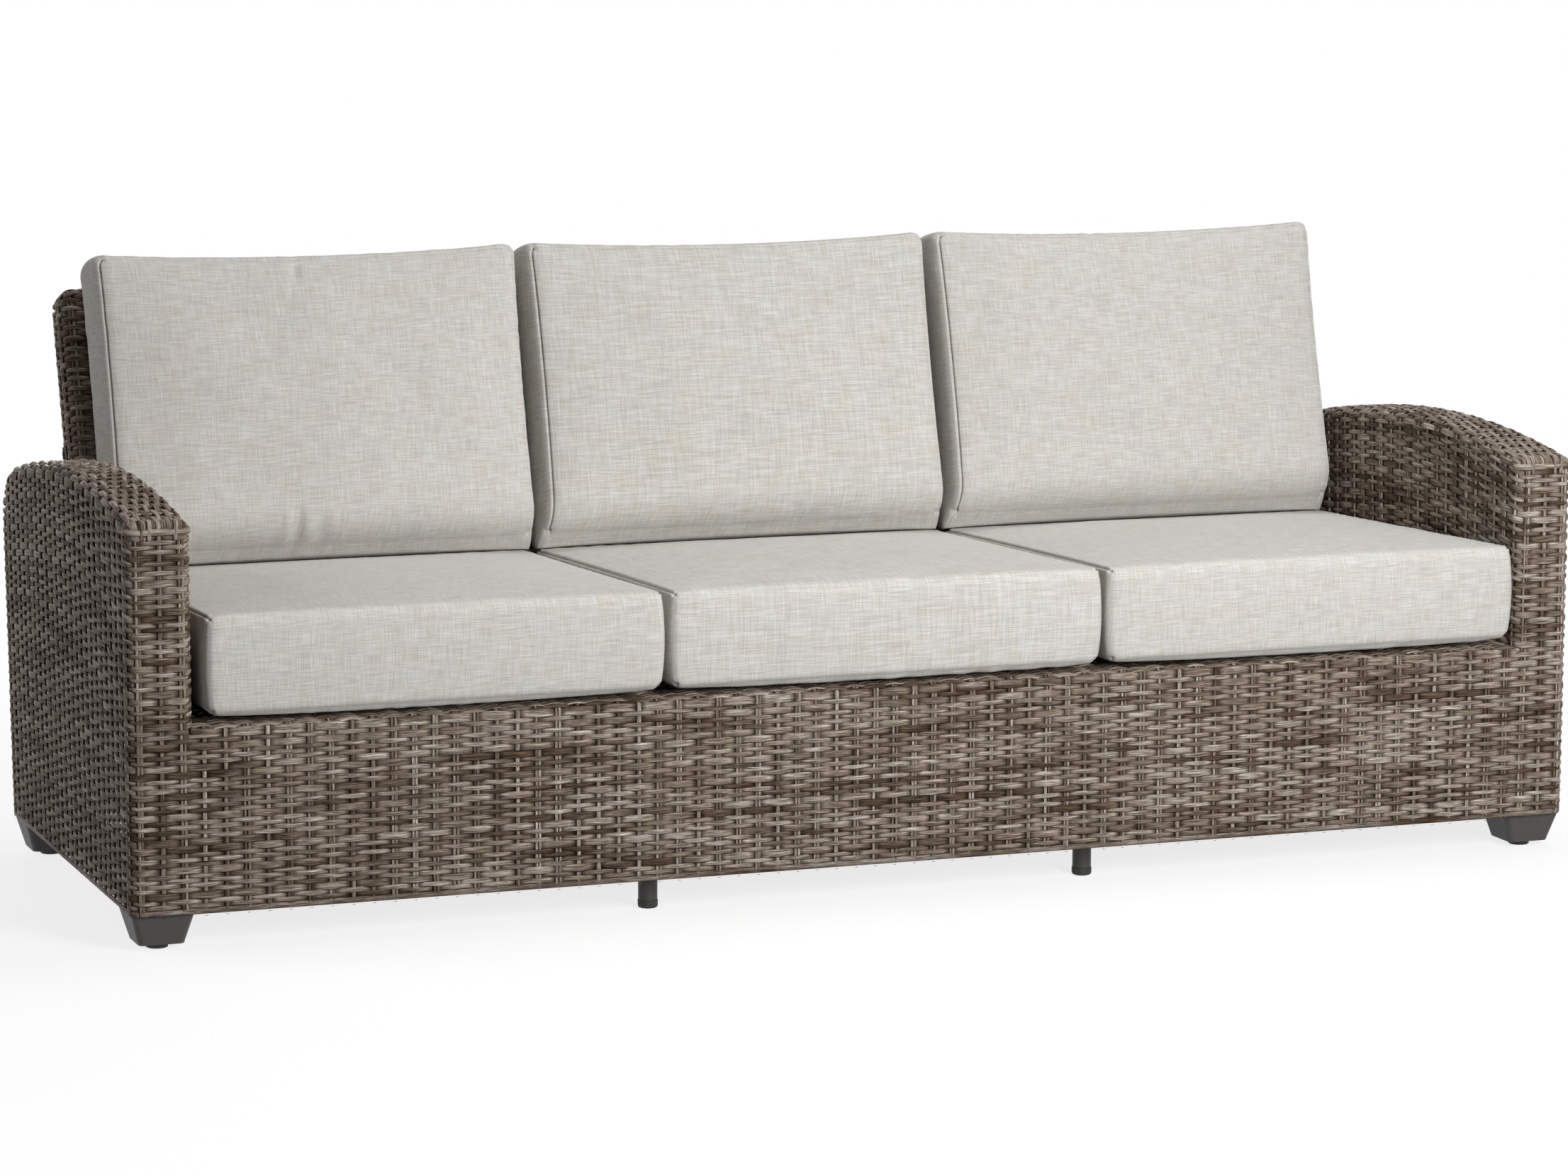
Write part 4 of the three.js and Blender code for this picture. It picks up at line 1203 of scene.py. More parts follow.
@dataclass
class SkirtWeave:
    """The rows that go round the sofa below the deck, the front stakes, the deck and the hem strand."""

    palette: Palette
    arms: WovenArms
    seed: int = 41
    deck_pitch: float = 14.0
    deck_fill: float = 0.86
    deck_end_gap: float = 8.0
    lip_rows: int = 10
    lip_start: float = 2.5
    # No row of the deck starts closer than this to its rear end
    deck_last: float = 4.0
    hem_sink: float = 2.0
    hem_gap: float = 0.8
    hem_thickness: float = 4.2
    # The hem strand's lift only darkens its colour: painted shade, as if it lay in a crossing
    hem_painted_shade_lift: float = 0.3
    wrap_widths: tuple[float, float] = (6.0, 8.4)
    wrap_thickness: float = 2.4
    wrap_reach: float = 3.6
    wrap_drop: float = 1.3
    wrap_sink: float = 1.2
    wrap_turn: float = 0.62

    def skirt_row(self, arm: ArmSlab, share: float) -> tuple[Array, Array, Array]:
        """One row from the left arm's rear edge, round the front, to the right arm's rear edge.

        Args:
            arm: the right arm.
            share: how far up the arm the row lies.

        Returns:
            Its points, outward directions and stake counts.
        """
        index, a, b = arm.face_run(share)
        last = a[-1]
        across = np.linspace(0, 1, arm.end_stakes * RULE.samples + 1)[1:]
        stub = np.linspace(last, last - SOFA.rear_inset, 5)[1:]
        stub_index = arm.end_stakes + (last - stub) / RULE.stake_pitch
        a, side_b, w, side_index = np.concatenate([
            columns(a, b, 0.0, index),
            columns(last, b[-1], across * arm.thickness, index[-1] + across * arm.end_stakes),
            columns(stub, b[-1], arm.thickness, index[-1] + stub_index),
        ]).T
        side_index = FRONT_STAKES + side_index
        a, w, na, nw = round_corners(a, w, 0.0, last, arm.thickness, arm.radius)
        right, right_facing = arm.place(a, side_b, w), arm.direction(na, 0 * na, nw)
        width = 2 * SOFA.half_width
        front_w = np.linspace(0, width, FRONT_STAKES * RULE.samples + 1)[1:-1]
        fa, fw, fna, fnw = round_corners(0 * front_w, front_w, 0.0, last, width, arm.radius)
        front, front_facing = columns(fw - SOFA.half_width, fa, b[0]), columns(fnw, fna, 0.0)
        flip = np.array([-1.0, 1.0, 1.0])
        points = np.concatenate([right[::-1] * flip, front, right])
        facing = np.concatenate([right_facing[::-1] * flip, front_facing, right_facing])
        counted = np.concatenate([
            FRONT_STAKES - side_index[::-1], front_w / width * FRONT_STAKES, side_index])
        return points, facing, counted

    def build(self) -> None:
        """Lay the skirt, its hem strand and wraps, the front stakes and the deck."""
        arm = self.arms.slab(1)
        pile = seeded(self.seed)
        for row, (height, share, width) in enumerate(zip(*self.arms.rows())):
            if height <= SOFA.deck - SOFA.lip_radius:
                points, facing, index = self.skirt_row(arm, share)
                RULE.weave(pile, points, facing, index, width, row)
        self.lay_hem(pile, arm)
        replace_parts(pile.build("skirt_weavers", self.palette.resin), "front_weave")
        profile = self.deck_profile()
        self.lay_deck_stakes(profile)
        self.lay_deck_rows(profile)

    def lay_hem(self, pile: StrandPile, arm: ArmSlab) -> None:
        """Lay the strand along the hem and the stake ends that wrap it.

        Args:
            pile: the strands of the piece.
            arm: the right arm.
        """
        points, facing, index = self.skirt_row(arm, (SOFA.hem_strand / 2) / (arm.front_top - SOFA.hem))
        width = SOFA.hem_strand - self.hem_gap
        pile.lay(points - facing * self.hem_sink, facing, width, self.hem_thickness, lift=self.hem_painted_shade_lift)
        turn = np.linspace(-self.wrap_turn * np.pi, self.wrap_turn * np.pi, 9) + np.pi
        drop = SOFA.hem_strand / 2 + self.wrap_drop
        for stake in range(int(np.ceil(index[0])), int(index[-1])):
            at = int(np.argmin(np.abs(index - stake - 0.5)))
            out = facing[at]
            centre = points[at] - out * self.wrap_sink
            path = centre + out[None] * (np.cos(turn) * -self.wrap_reach)[:, None]
            path = path + np.array([0, 0, 1.0]) * (np.sin(turn + np.pi / 2) * drop)[:, None]
            width = pile.rng.uniform(*self.wrap_widths)
            pile.lay(path, unit(path - centre), width, self.wrap_thickness, lift=RULE.stake_lift)

    def deck_profile(self) -> Array:
        """Draw the front face, the rolled lip and the deck, seen from the side.

        Returns:
            Rows of depth and height, from the hem to the deck's rear end.
        """
        r = SOFA.lip_radius
        edge = SOFA.deck - r
        return np.concatenate([
            columns(0.0, np.linspace(SOFA.hem + STAKE_INSET, edge, 20))[:-1],
            arc((r, edge), r, math.pi, math.pi / 2, 6),
            columns(np.linspace(r, SOFA.deck_depth - self.deck_end_gap, 36), SOFA.deck)[1:]])

    def lay_deck_stakes(self, profile: Array) -> None:
        """Lay the front stakes, which turn back over the lip to be the deck's.

        Args:
            profile: the side view that they follow.
        """
        normal_y, normal_z = path_normals(profile).T
        pile = seeded(self.seed + 1)
        doubles = RULE.doubles(FRONT_STAKES, self.seed + 2)
        places = (np.arange(FRONT_STAKES) + 0.5) / FRONT_STAKES * 2 * SOFA.half_width - SOFA.half_width
        for x, double in zip(places, doubles):
            if abs(x) <= SOFA.arm_inner:
                RULE.stake(pile, columns(x, *profile.T), columns(0.0, normal_y, normal_z), bool(double))
        pile.build("front_and_deck_stakes", self.palette.resin)

    def lay_deck_rows(self, profile: Array) -> None:
        """Lay the rows over the lip, close together, and then the deck's, further apart.

        Args:
            profile: the side view that they follow.
        """
        normal = path_normals(profile)
        travel = travelled(profile)
        at = float(np.interp(SOFA.deck - SOFA.lip_radius, profile[:20, 1], travel[:20])) + self.lip_start
        pile = seeded(self.seed + 3)
        # The rows reach just under the arms
        ends = ARM_END_STAKES - 0.1
        index = np.linspace(ends, FRONT_STAKES - ends, (FRONT_STAKES - 6) * (RULE.samples - 1) + 1)
        x = index / FRONT_STAKES * 2 * SOFA.half_width - SOFA.half_width
        row = 0
        while at < travel[-1] - self.deck_last:
            on_lip = row < self.lip_rows
            y, z, ny, nz = (float(np.interp(at, travel, v)) for v in (*profile.T, *normal.T))
            facing = np.broadcast_to(unit(np.array([0.0, ny, nz])), (len(x), 3))
            width = RULE.row_pitch if on_lip else self.deck_pitch * self.deck_fill
            RULE.weave(pile, columns(x, y, z), facing, index, width, row)
            at += RULE.row_pitch if on_lip else self.deck_pitch
            row += 1
        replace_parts(pile.build("deck_weavers", self.palette.resin), "deck_weave")


@dataclass
class WovenBack:
    """The raked back, woven all round, and the upright rear panel below it."""

    palette: Palette
    seed: int = 71
    stakes: int = FRONT_STAKES - 2 * ARM_END_STAKES
    foot_gap: float = 4.0
    # The rear panel ends at one height, and its outer face would meet the back's rear face at the other
    panel_top: float = 612.0
    panel_meets: float = 616.0
    # How far the back's loops and its rear stakes reach down behind the rear panel's top
    loops_below: float = 6.0
    stakes_below: float = 8.0

    def build(self) -> None:
        """Lay the back and the rear panel."""
        slab = BackSlab(SOFA.back_thickness, self.stakes, BACK_END_STAKES, 0.0)
        rise = self.panel_meets - SOFA.deck + SOFA.back_thickness * math.sin(SOFA.back_rake)
        junction = rise / math.cos(SOFA.back_rake)
        self.lay_rows(slab, junction)
        self.lay_stakes(slab, junction)
        self.build_rear_panel()

    def lay_rows(self, slab: BackSlab, junction: float) -> None:
        """Lay the back's rows: loops above the rear panel, and runs round the front and ends below it.

        Args:
            slab: the back.
            junction: how far up its rake the rear panel meets it.
        """
        rng = np.random.default_rng(self.seed)
        length = SOFA.back_length - SOFA.edge_radius
        heights, widths = RULE.rows(0.0, length, rng)
        pile = StrandPile(rng)
        n, m = self.stakes, BACK_END_STAKES
        for row, (height, width) in enumerate(zip(heights, widths)):
            points, normals, index, swing = slab.loop(height / length)
            if height > junction - self.loops_below:
                RULE.weave(pile, points, normals, index, width, row, closed=True, swing_share=swing)
                continue
            keep, tail = index <= n + 1, index >= 2 * n + 2 * m - 1
            points, normals = (np.concatenate([v[tail], v[keep]]) for v in (points, normals))
            counted = np.concatenate([index[tail] - 2 * n - 2 * m, index[keep]])
            RULE.weave(pile, points, normals, counted, width, row)
        fold = float(slab.height(1.0, 0.0)) + 1
        slab.lay_top_rows(pile, (fold, fold), held=False)
        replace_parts(pile.build("back_weavers", self.palette.resin), "back_weave")

    def lay_stakes(self, slab: BackSlab, junction: float) -> None:
        """Lay the stakes over the back's faces and up its two ends.

        Args:
            slab: the back.
            junction: how far up its rake the rear panel meets it.
        """
        pile = seeded(self.seed + 1)
        feet = (self.foot_gap, junction - self.stakes_below)
        slab.lay_stakes(pile, RULE.doubles(self.stakes, self.seed + 2), feet)
        b = np.linspace(self.foot_gap, SOFA.back_length - SOFA.back_corner, 36)
        for end, out in ((0.0, -1.0), (2 * SOFA.arm_inner, 1.0)):
            for k in range(BACK_END_STAKES):
                w = SOFA.back_thickness * (k + 0.5) / BACK_END_STAKES
                place = slab.place(0 * b + end, b, 0 * b + w)
                RULE.stake(pile, place, slab.direction(0 * b + out, 0 * b, 0 * b), True)
        pile.build("back_stakes", self.palette.resin)

    def build_rear_panel(self) -> None:
        """Lay the upright panel from the hem to the back slab."""
        foot = SOFA.arm_depth - SOFA.rear_inset
        slope = math.tan(SOFA.arm_lean)
        facing = unit(np.array([0.0, 1.0, -slope]))
        rows = seeded(self.seed + 5)
        heights, widths = RULE.rows(SOFA.hem, self.panel_top, rows.rng)
        index = np.linspace(0, self.stakes, self.stakes * (RULE.samples - 1) + 1)
        x = (index / self.stakes * 2 - 1) * SOFA.arm_inner
        for row, (z, width) in enumerate(zip(heights, widths)):
            points = columns(x, foot + (z - SOFA.hem) * slope, z)
            normals = np.broadcast_to(facing, points.shape)
            RULE.weave(rows, points, normals, index, width, row)
        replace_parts(rows.build("rear_panel_weavers", self.palette.resin), "rear_weave")
        stakes = seeded(self.seed + 6)
        z = np.linspace(SOFA.hem + STAKE_INSET, self.panel_top, 34)
        for k in range(self.stakes):
            across = ((k + 0.5) / self.stakes * 2 - 1) * SOFA.arm_inner
            points = columns(across, foot + (z - SOFA.hem) * slope, z)
            RULE.stake(stakes, points, np.broadcast_to(facing, points.shape), k % 3 != 1)
        stakes.build("rear_panel_stakes", self.palette.resin)


class Panel(Enum):
    """The six panels of a box cushion: which way each faces in the cushion's own axes."""

    TOP = ("z", 1)
    BASE = ("z", -1)
    RIGHT = ("x", 1)
    LEFT = ("x", -1)
    FAR = ("y", 1)
    NEAR = ("y", -1)


@dataclass
class Lattice:
    """The outside of a block of cells: six panels of corners that share their edges."""

    counts: tuple[int, int, int]

    def __post_init__(self) -> None:
        """Number the corners that lie outside."""
        nx, ny, nz = self.counts
        i, j, k = np.meshgrid(*(np.arange(n + 1) for n in self.counts), indexing="ij")
        outside = (i == 0) | (i == nx) | (j == 0) | (j == ny) | (k == 0) | (k == nz)
        self.ids = np.full(i.shape, -1)
        self.ids[outside] = np.arange(outside.sum())
        self.cells = columns(i[outside], j[outside], k[outside])

    def panel(self, which: Panel) -> Array:
        """Find the corners of a panel.

        Args:
            which: the panel.

        Returns:
            Their numbers, as a grid.
        """
        axis, sign = which.value
        end = -1 if sign > 0 else 0
        return {"x": self.ids[end], "y": self.ids[:, end].T, "z": self.ids[:, :, end]}[axis]

    def quads(self) -> Array:
        """Make the faces of all panels.

        Returns:
            Four corner numbers for each face, in the order that turns it outwards.
        """
        found = []
        for which in Panel:
            g = self.panel(which)
            quad = columns(g[:-1, :-1], g[1:, :-1], g[1:, 1:], g[:-1, 1:]).reshape(-1, 4)
            found.append(quad if which.value[1] > 0 else quad[:, ::-1])
        return np.concatenate(found)


def smooth_weights(coarse: int, places: Array) -> Array:
    """Weights that carry evenly spread values onto new places by a smooth curve.

    Args:
        coarse: how many steps the values span.
        places: the new places, from nought to one.

    Returns:
        One row of weights for each place.
    """
    at = np.clip(places * coarse, 0, coarse - 1e-9)
    base = np.floor(at).astype(int)
    t = at - base
    curve = (
        -0.5 * t + t**2 - 0.5 * t**3, 1 - 2.5 * t**2 + 1.5 * t**3,
        0.5 * t + 2 * t**2 - 1.5 * t**3, -0.5 * t**2 + 0.5 * t**3)
    weights = np.zeros((len(places), coarse + 1))
    rows = np.arange(len(places))
    for step, share in zip((-1, 0, 1, 2), curve):
        column = base + step
        low, high = column < 0, column > coarse
        # Past an edge the values run on in a straight line
        for where, spot, factor in (
            (~(low | high), column, 1.0),
            (low, 0 * column, 2.0), (low, 0 * column + 1, -1.0),
            (high, 0 * column + coarse, 2.0), (high, 0 * column + coarse - 1, -1.0),
        ):
            np.add.at(weights, (rows[where], spot[where]), factor * share[where])
    return weights


def seam_places(length: float, spacing: float) -> Array:
    """Spread places along a panel, close together beside its seams.

    Args:
        length: the panel's length, in millimetres.
        spacing: how far apart the places are in its middle, nearly.

    Returns:
        The places, from nought to one.
    """
    near = np.array([0, 1.3, 2.8, 4.8, 7.6, 11.5])
    inner = np.linspace(near[-1], length - near[-1], max(int((length - 2 * near[-1]) / spacing), 2) + 1)
    return np.concatenate([near[:-1], inner, (length - near[:-1])[::-1]]) / length


@dataclass(frozen=True)
class SeatSizes:
    """A seat cushion's sizes and place, in millimetres."""

    width: float = 668.0
    depth: float = 648.0
    low: float = 335.0
    high: float = 475.5
    crown: float = 13.0
    rear_drop: float = 30.0
    overhang: float = 14.0
    rear_gap: float = 7.0
    pitch: float = 682.0
    # The base's bulge is pressed flat: by half of the reach where it would sink in by the softness
    press_reach: float = 30.0
    press_softness: float = 9.0
    deck_gap: float = 0.7

    @property
    def middle(self) -> float:
        """The depth of its middle."""
        return (SOFA.deck_depth - self.rear_gap - self.overhang) / 2


@dataclass(frozen=True)
class BackCushionSizes:
    """A back cushion's sizes and place, in millimetres."""

    width: float = 656.0
    length: float = 468.0
    pitch: float = 677.0
    thickness: float = 120.0
    rake: float = math.radians(15.2)
    sink: float = 10.0
    rear_gap: float = 8.0
    roll_height: float = 85.0
    roll_depth: float = 30.0
    crown: float = 32.0
    rest_gap: float = 1.0


@dataclass(frozen=True)
class Stitching:
    """How a cover lies at its seams and creases near them, in millimetres."""

    groove: float = 3.0
    groove_reach: float = 1.3
    swell: float = 0.9
    swell_place: float = 4.0
    swell_reach: float = 2.6
    puckers: int = 14
    pucker: float = 0.32
    pucker_lengths: tuple[float, float] = (18, 46)
    pucker_patch: tuple[float, float] = (170, 150)
    pucker_fade: float = 45
    ripples: int = 10
    ripple: float = 0.45
    ripple_lengths: tuple[float, float] = (120, 260)
    ripple_fade: float = 90
    fold_reach: float = 9
    # A fold throws up a low ridge on each side of it
    ridge_share: float = 0.6
    ridge_place: float = 15
    ridge_reach: float = 8

    def wave(self, rng: np.random.Generator, u: Array, v: Array, lengths: tuple[float, float]) -> Array:
        """Draw one straight wave over the cover, of a length between the shortest and the longest."""
        length, turn, start = rng.uniform(*lengths), rng.uniform(0, 2 * np.pi), rng.uniform(0, 2 * np.pi)
        return np.sin((u * np.cos(turn) + v * np.sin(turn)) * 2 * np.pi / length + start)


SEAT = SeatSizes()
BACK_CUSHION = BackCushionSizes()
STITCHING = Stitching()


def back_face_at(height: Array) -> Array:
    """The depth of the back's front face at a height."""
    return SOFA.deck_depth + (height - SOFA.deck) * math.tan(SOFA.back_rake)


def seat_fall_at(depth: Array) -> Array:
    """How far the seat's top has fallen at a depth: firm in front and pressed down behind."""
    return SEAT.rear_drop * np.clip((depth + SEAT.overhang) / SEAT.depth, 0, 1)


def seat_top_at(x: Array, y: Array, centre: float) -> Array:
    """Find the height of a seat cushion's top at places on it.

    Args:
        x: the places across the sofa.
        y: their depths.
        centre: where the cushion's middle is across the sofa.

    Returns:
        The heights.
    """
    a = np.clip(np.abs(x - centre) / (SEAT.width / 2), 0, 1)
    b = np.clip(np.abs(y - SEAT.middle) / (SEAT.depth / 2), 0, 1)
    return SEAT.high - seat_fall_at(y) + SEAT.crown * ((1 - a * a) * (1 - b * b)) ** 0.55


class Rest(Enum):
    """What a cushion's base lies against."""

    DECK = "deck"
    BACK = "back"


CLOTH_FRAMES = 20


@dataclass
class BoxCushion:
    """A boxed cushion: two panels joined by a gusset, inflated by a cloth simulation and then seamed.

    Its own axes run across it, along it and through it from its base. An edge in soft_edges names the two
    axes that it lies between, the end of each, and its radius. A fold has its middle as shares of the cover,
    its run across and along in millimetres, and its depth.
    """

    name: str
    rest: Rest
    width: float
    depth: float
    thickness: float
    crown: float
    pull_in: float
    side_pull: float
    swell: float
    cap: float
    fill: float
    place: int
    seed: int
    cell: float = 13.0
    fine: float = 6.5
    dome: float = 0.55
    fullness: float = 0.45
    sag: float = 0.0
    base_inset: float = 0.0
    ripple: float = 1.0
    soft_edges: tuple[tuple[int, int, int, int, float], ...] = ()
    seam_near: float = 1.0
    seam_far: float = 1.0
    seam_side: float = 1.0
    seam_corner: float = 0.3
    corner_shift: float = 0.0
    seam_base: float = 0.4
    folds: tuple[tuple[float, float, float, float, float], ...] = ()
    pressure: float = 4.0
    cloth_mass: float = 0.3
    stretch: float = 12.0
    bending: float = 0.6
    quality: int = 5

    def __post_init__(self) -> None:
        """Lay out the coarse grid."""
        self.sizes = np.array([self.width, self.depth, self.thickness])
        self.lattice = Lattice(tuple(max(int(round(s / self.cell)), 4) for s in self.sizes))
        self.inflated = self.form(self.lattice.cells / np.array(self.lattice.counts) * 2 - 1)

    def form(self, place: Array) -> Array:
        """The cushion before it is inflated, with a share of its crown.

        Args:
            place: places from -1 to 1 along its three axes.

        Returns:
            Its points, in its own axes.
        """
        a, b, c = place.T
        x, y = a * self.width / 2, b * self.depth / 2
        dome = ((1 - a * a) * (1 - b * b)).clip(0) ** self.dome
        bulge = self.swell * (1 - c * c)
        x = x - a * (self.side_pull * (1 - b * b).clip(0) ** 0.8 - bulge * np.abs(a))
        pull = np.where(b < 0, -self.sag * (1 - 0.4 * a**6), self.pull_in * (1 - a * a).clip(0) ** 0.8)
        y = y - b * (pull - bulge * np.abs(b))
        under = self.base_inset * np.clip(-c, 0, 1) ** 6
        x, y = x * (1 - under / (self.width / 2)), y * (1 - under / (self.depth / 2))
        return columns(x, y, c * (self.thickness / 2 + self.fullness * self.crown * dome))

    def seam_mask(self) -> Array:
        """Find the coarse corners that the seams and the base hold still.

        Returns:
            True for each of them.
        """
        across, along, level = self.lattice.cells.T
        nx, ny, nz = self.lattice.counts
        side, end = (across == 0) | (across == nx), (along == 0) | (along == ny)
        return ((side | end) & (level == nz)) | (side & end) | (level == 0)

    def start_cloth(self) -> Piece:
        """Make the coarse cushion as cloth under pressure, held at its seams.

        Returns:
            The cloth, which is simulated as the frames go by.
        """
        quads = self.lattice.quads()
        piece = mesh_object(f"{self.name}_cloth", self.inflated, [quads], bpy.data.materials[0])
        group = piece.vertex_groups.new(name="seams")
        group.add([int(i) for i in np.where(self.seam_mask())[0]], 1.0, "REPLACE")
        cloth = piece.modifiers.new("cloth", "CLOTH")
        settings = cloth.settings
        settings.quality = self.quality
        settings.mass = self.cloth_mass
        settings.use_pressure = True
        settings.uniform_pressure_force = self.pressure
        settings.vertex_group_mass = "seams"
        settings.tension_stiffness = self.stretch
        settings.compression_stiffness = self.stretch
        settings.bending_stiffness = self.bending
        settings.effector_weights.gravity = 0
        cloth.point_cache.frame_start = 1
        cloth.point_cache.frame_end = CLOTH_FRAMES
        return piece

    def take_cloth(self, piece: Piece) -> None:
        """Read the inflated cloth, let no point move further than the cap, and remove the cloth.

        Args:
            piece: the cloth.
        """
        shape = piece.evaluated_get(bpy.context.evaluated_depsgraph_get()).to_mesh()
        moved = np.empty(len(shape.vertices) * 3, np.float32)
        shape.vertices.foreach_get("co", moved)
        moved = (moved.reshape(-1, 3) - np.array([0, FRONT_FACE, 0])) * MM_PER_M
        step = moved - self.inflated
        most = float(np.linalg.norm(step, axis=1).max())
        self.inflated = self.inflated + step * min(1.0, self.cap / max(most, 1e-6))
        log.info("%s: the cloth moved %.1f mm at most, capped at %.1f", self.name, most, self.cap)
        mesh = piece.data
        bpy.data.objects.remove(piece)
        bpy.data.meshes.remove(mesh)

    def own_axes(self) -> tuple[Array, Array]:
        """Find how the cushion lies on the sofa.

        Returns:
            Its middle and its three axes, in the sofa's.
        """
        if self.rest is Rest.DECK:
            return np.array([self.place * SEAT.pitch, SEAT.middle, SEAT.low + self.thickness / 2]), np.eye(3)
        sine, cosine = math.sin(BACK_CUSHION.rake), math.cos(BACK_CUSHION.rake)
        up, forward = np.array([0.0, sine, cosine]), np.array([0.0, -cosine, sine])
        foot = np.array([self.place * BACK_CUSHION.pitch, 0.0, SEAT.high - BACK_CUSHION.sink])
        rear = foot - forward * self.thickness
        rear[1] = back_face_at(rear[2]) - BACK_CUSHION.rear_gap
        middle = rear + up * self.depth / 2 + forward * self.thickness / 2
        return middle, np.stack([[1.0, 0.0, 0.0], up, forward])

    def fine_points(self) -> tuple[Lattice, Array, Array, Array]:
        """Carry the inflated cushion onto a fine grid.

        Returns:
            The fine lattice, its points, their places from nought to one, and each one's way out.
        """
        places = [seam_places(s, self.fine) for s in self.sizes]
        fine = Lattice(tuple(len(p) - 1 for p in places))
        points = np.zeros((len(fine.cells), 3))
        out = np.zeros_like(points)
        # The axes that a panel's rows and columns run along
        runs = {"x": (1, 2), "y": (2, 0), "z": (0, 1)}
        for which in Panel:
            first, second = (smooth_weights(self.lattice.counts[i], places[i]) for i in runs[which.value[0]])
            coarse = self.inflated[self.lattice.panel(which)]
            points[fine.panel(which)] = np.einsum("ri,ijk,cj->rck", first, coarse, second)
        shares = columns(*(place[cells] for place, cells in zip(places, fine.cells.T)))
        self.soften(points, shares)
        for which in Panel:
            ids = fine.panel(which)
            grid = points[ids]
            normal = np.cross(np.gradient(grid, axis=0), np.gradient(grid, axis=1)) * which.value[1]
            np.add.at(out, ids.ravel(), unit(normal).reshape(-1, 3))
        return fine, points, shares, unit(out)

    def soften(self, points: Array, shares: Array) -> None:
        """Round the edges where the cover rolls over.

        Args:
            points: the cushion's points, which it moves.
            shares: their places from nought to one.
        """
        for first, first_end, second, second_end, radius in self.soft_edges:
            beside = np.abs(shares[:, first] - first_end) * self.sizes[first]
            below = np.abs(shares[:, second] - second_end) * self.sizes[second]
            on = np.maximum(beside, below) < radius
            arc_radius = radius - np.minimum(beside, below)[on]
            reach = np.abs(beside - below)[on]
            turn = np.pi / 4 * (1 - reach / arc_radius)
            slide, dip = arc_radius * (1 - np.sin(turn)) - reach, arc_radius * (1 - np.cos(turn))
            along_first = beside[on] > below[on]
            points[on, first] += np.where(along_first, slide, dip) * (1 - 2 * first_end)
            points[on, second] += np.where(along_first, dip, slide) * (1 - 2 * second_end)

    def seam(self, shares: Array) -> Array:
        """Draw the stitched seams: grooves with full sides.

        Args:
            shares: places on the cushion, from nought to one.

        Returns:
            How far each point stands out from the cushion, or into it, in millimetres.
        """
        across, _, level = (np.minimum(shares, 1 - shares) * self.sizes).T
        near, far = shares[:, 1] * self.sizes[1], (1 - shares[:, 1]) * self.sizes[1]
        face = np.where(shares[:, 2] > 0.5, 1.0, self.seam_base)
        height = np.zeros(len(shares))
        for gap, strength in (
            (np.hypot(level, across), face * self.seam_side),
            (np.hypot(level, near), face * self.seam_near),
            (np.hypot(level, far), face * self.seam_far),
            (np.hypot(across - self.corner_shift, near), self.seam_corner),
        ):
            groove = -STITCHING.groove * np.exp(-((gap / STITCHING.groove_reach) ** 2))
            swell = np.exp(-(((gap - STITCHING.swell_place) / STITCHING.swell_reach) ** 2))
            height += strength * (groove + STITCHING.swell * swell)
        return height

    def wrinkles(self, shares: Array) -> Array:
        """Draw soft puckers beside the seams, broad ripples and the few longer folds.

        Args:
            shares: places on the cushion, from nought to one.

        Returns:
            The height of each point, in millimetres.
        """
        rng = np.random.default_rng(self.seed)
        width, length = self.sizes[:2]
        u, v = shares[:, 0] * width, shares[:, 1] * length
        rim = np.minimum(np.minimum(u, width - u), np.minimum(v, length - v))
        height = np.zeros(len(shares))
        reach_u, reach_v = STITCHING.pucker_patch
        for _ in range(STITCHING.puckers):
            wave = STITCHING.wave(rng, u, v, STITCHING.pucker_lengths)
            gap_u, gap_v = u - rng.uniform(0, width), v - rng.uniform(0, length)
            patch = np.exp(-((gap_u / reach_u) ** 2) - (gap_v / reach_v) ** 2)
            height += STITCHING.pucker * wave * patch * np.exp(-rim / STITCHING.pucker_fade)
        for _ in range(STITCHING.ripples):
            wave = STITCHING.wave(rng, u, v, STITCHING.ripple_lengths)
            height += STITCHING.ripple * self.ripple * wave * ease(rim, 0, STITCHING.ripple_fade)
        face = shares[:, 2] > 0.5
        for at_u, at_v, run_u, run_v, depth in self.folds:
            reach = math.hypot(run_u, run_v)
            du, dv = u - at_u * width, v - at_v * length
            forward = (du * run_u + dv * run_v) / reach
            sideways = (-du * run_v + dv * run_u) / reach
            crease = np.exp(-((forward / reach) ** 2) - (sideways / STITCHING.fold_reach) ** 2)
            beside = (np.abs(sideways) - STITCHING.ridge_place) / STITCHING.ridge_reach
            ridge = STITCHING.ridge_share * np.exp(-((forward / reach) ** 2) - beside**2)
            height += np.where(face, depth * (ridge - crease), 0)
        return height

    def cloth_places(self, lattice: Lattice, shares: Array) -> Array:
        """Find where each corner lies on the cloth, unrolled from the front panel over the gussets.

        Args:
            lattice: the fine grid.
            shares: places on the cushion, from nought to one.

        Returns:
            Places in millimetres, and a number that differs between cushions.
        """
        u, v, t = (shares * self.sizes).T
        drop = self.thickness - t
        (at_x, at_y, _), (nx, ny, _) = lattice.cells.T, lattice.counts
        u = np.where(at_x == 0, -drop, np.where(at_x == nx, self.width + drop, u))
        v = np.where(at_y == 0, -drop, np.where(at_y == ny, self.depth + drop, v))
        return columns(u, v, self.seed * 1.7)

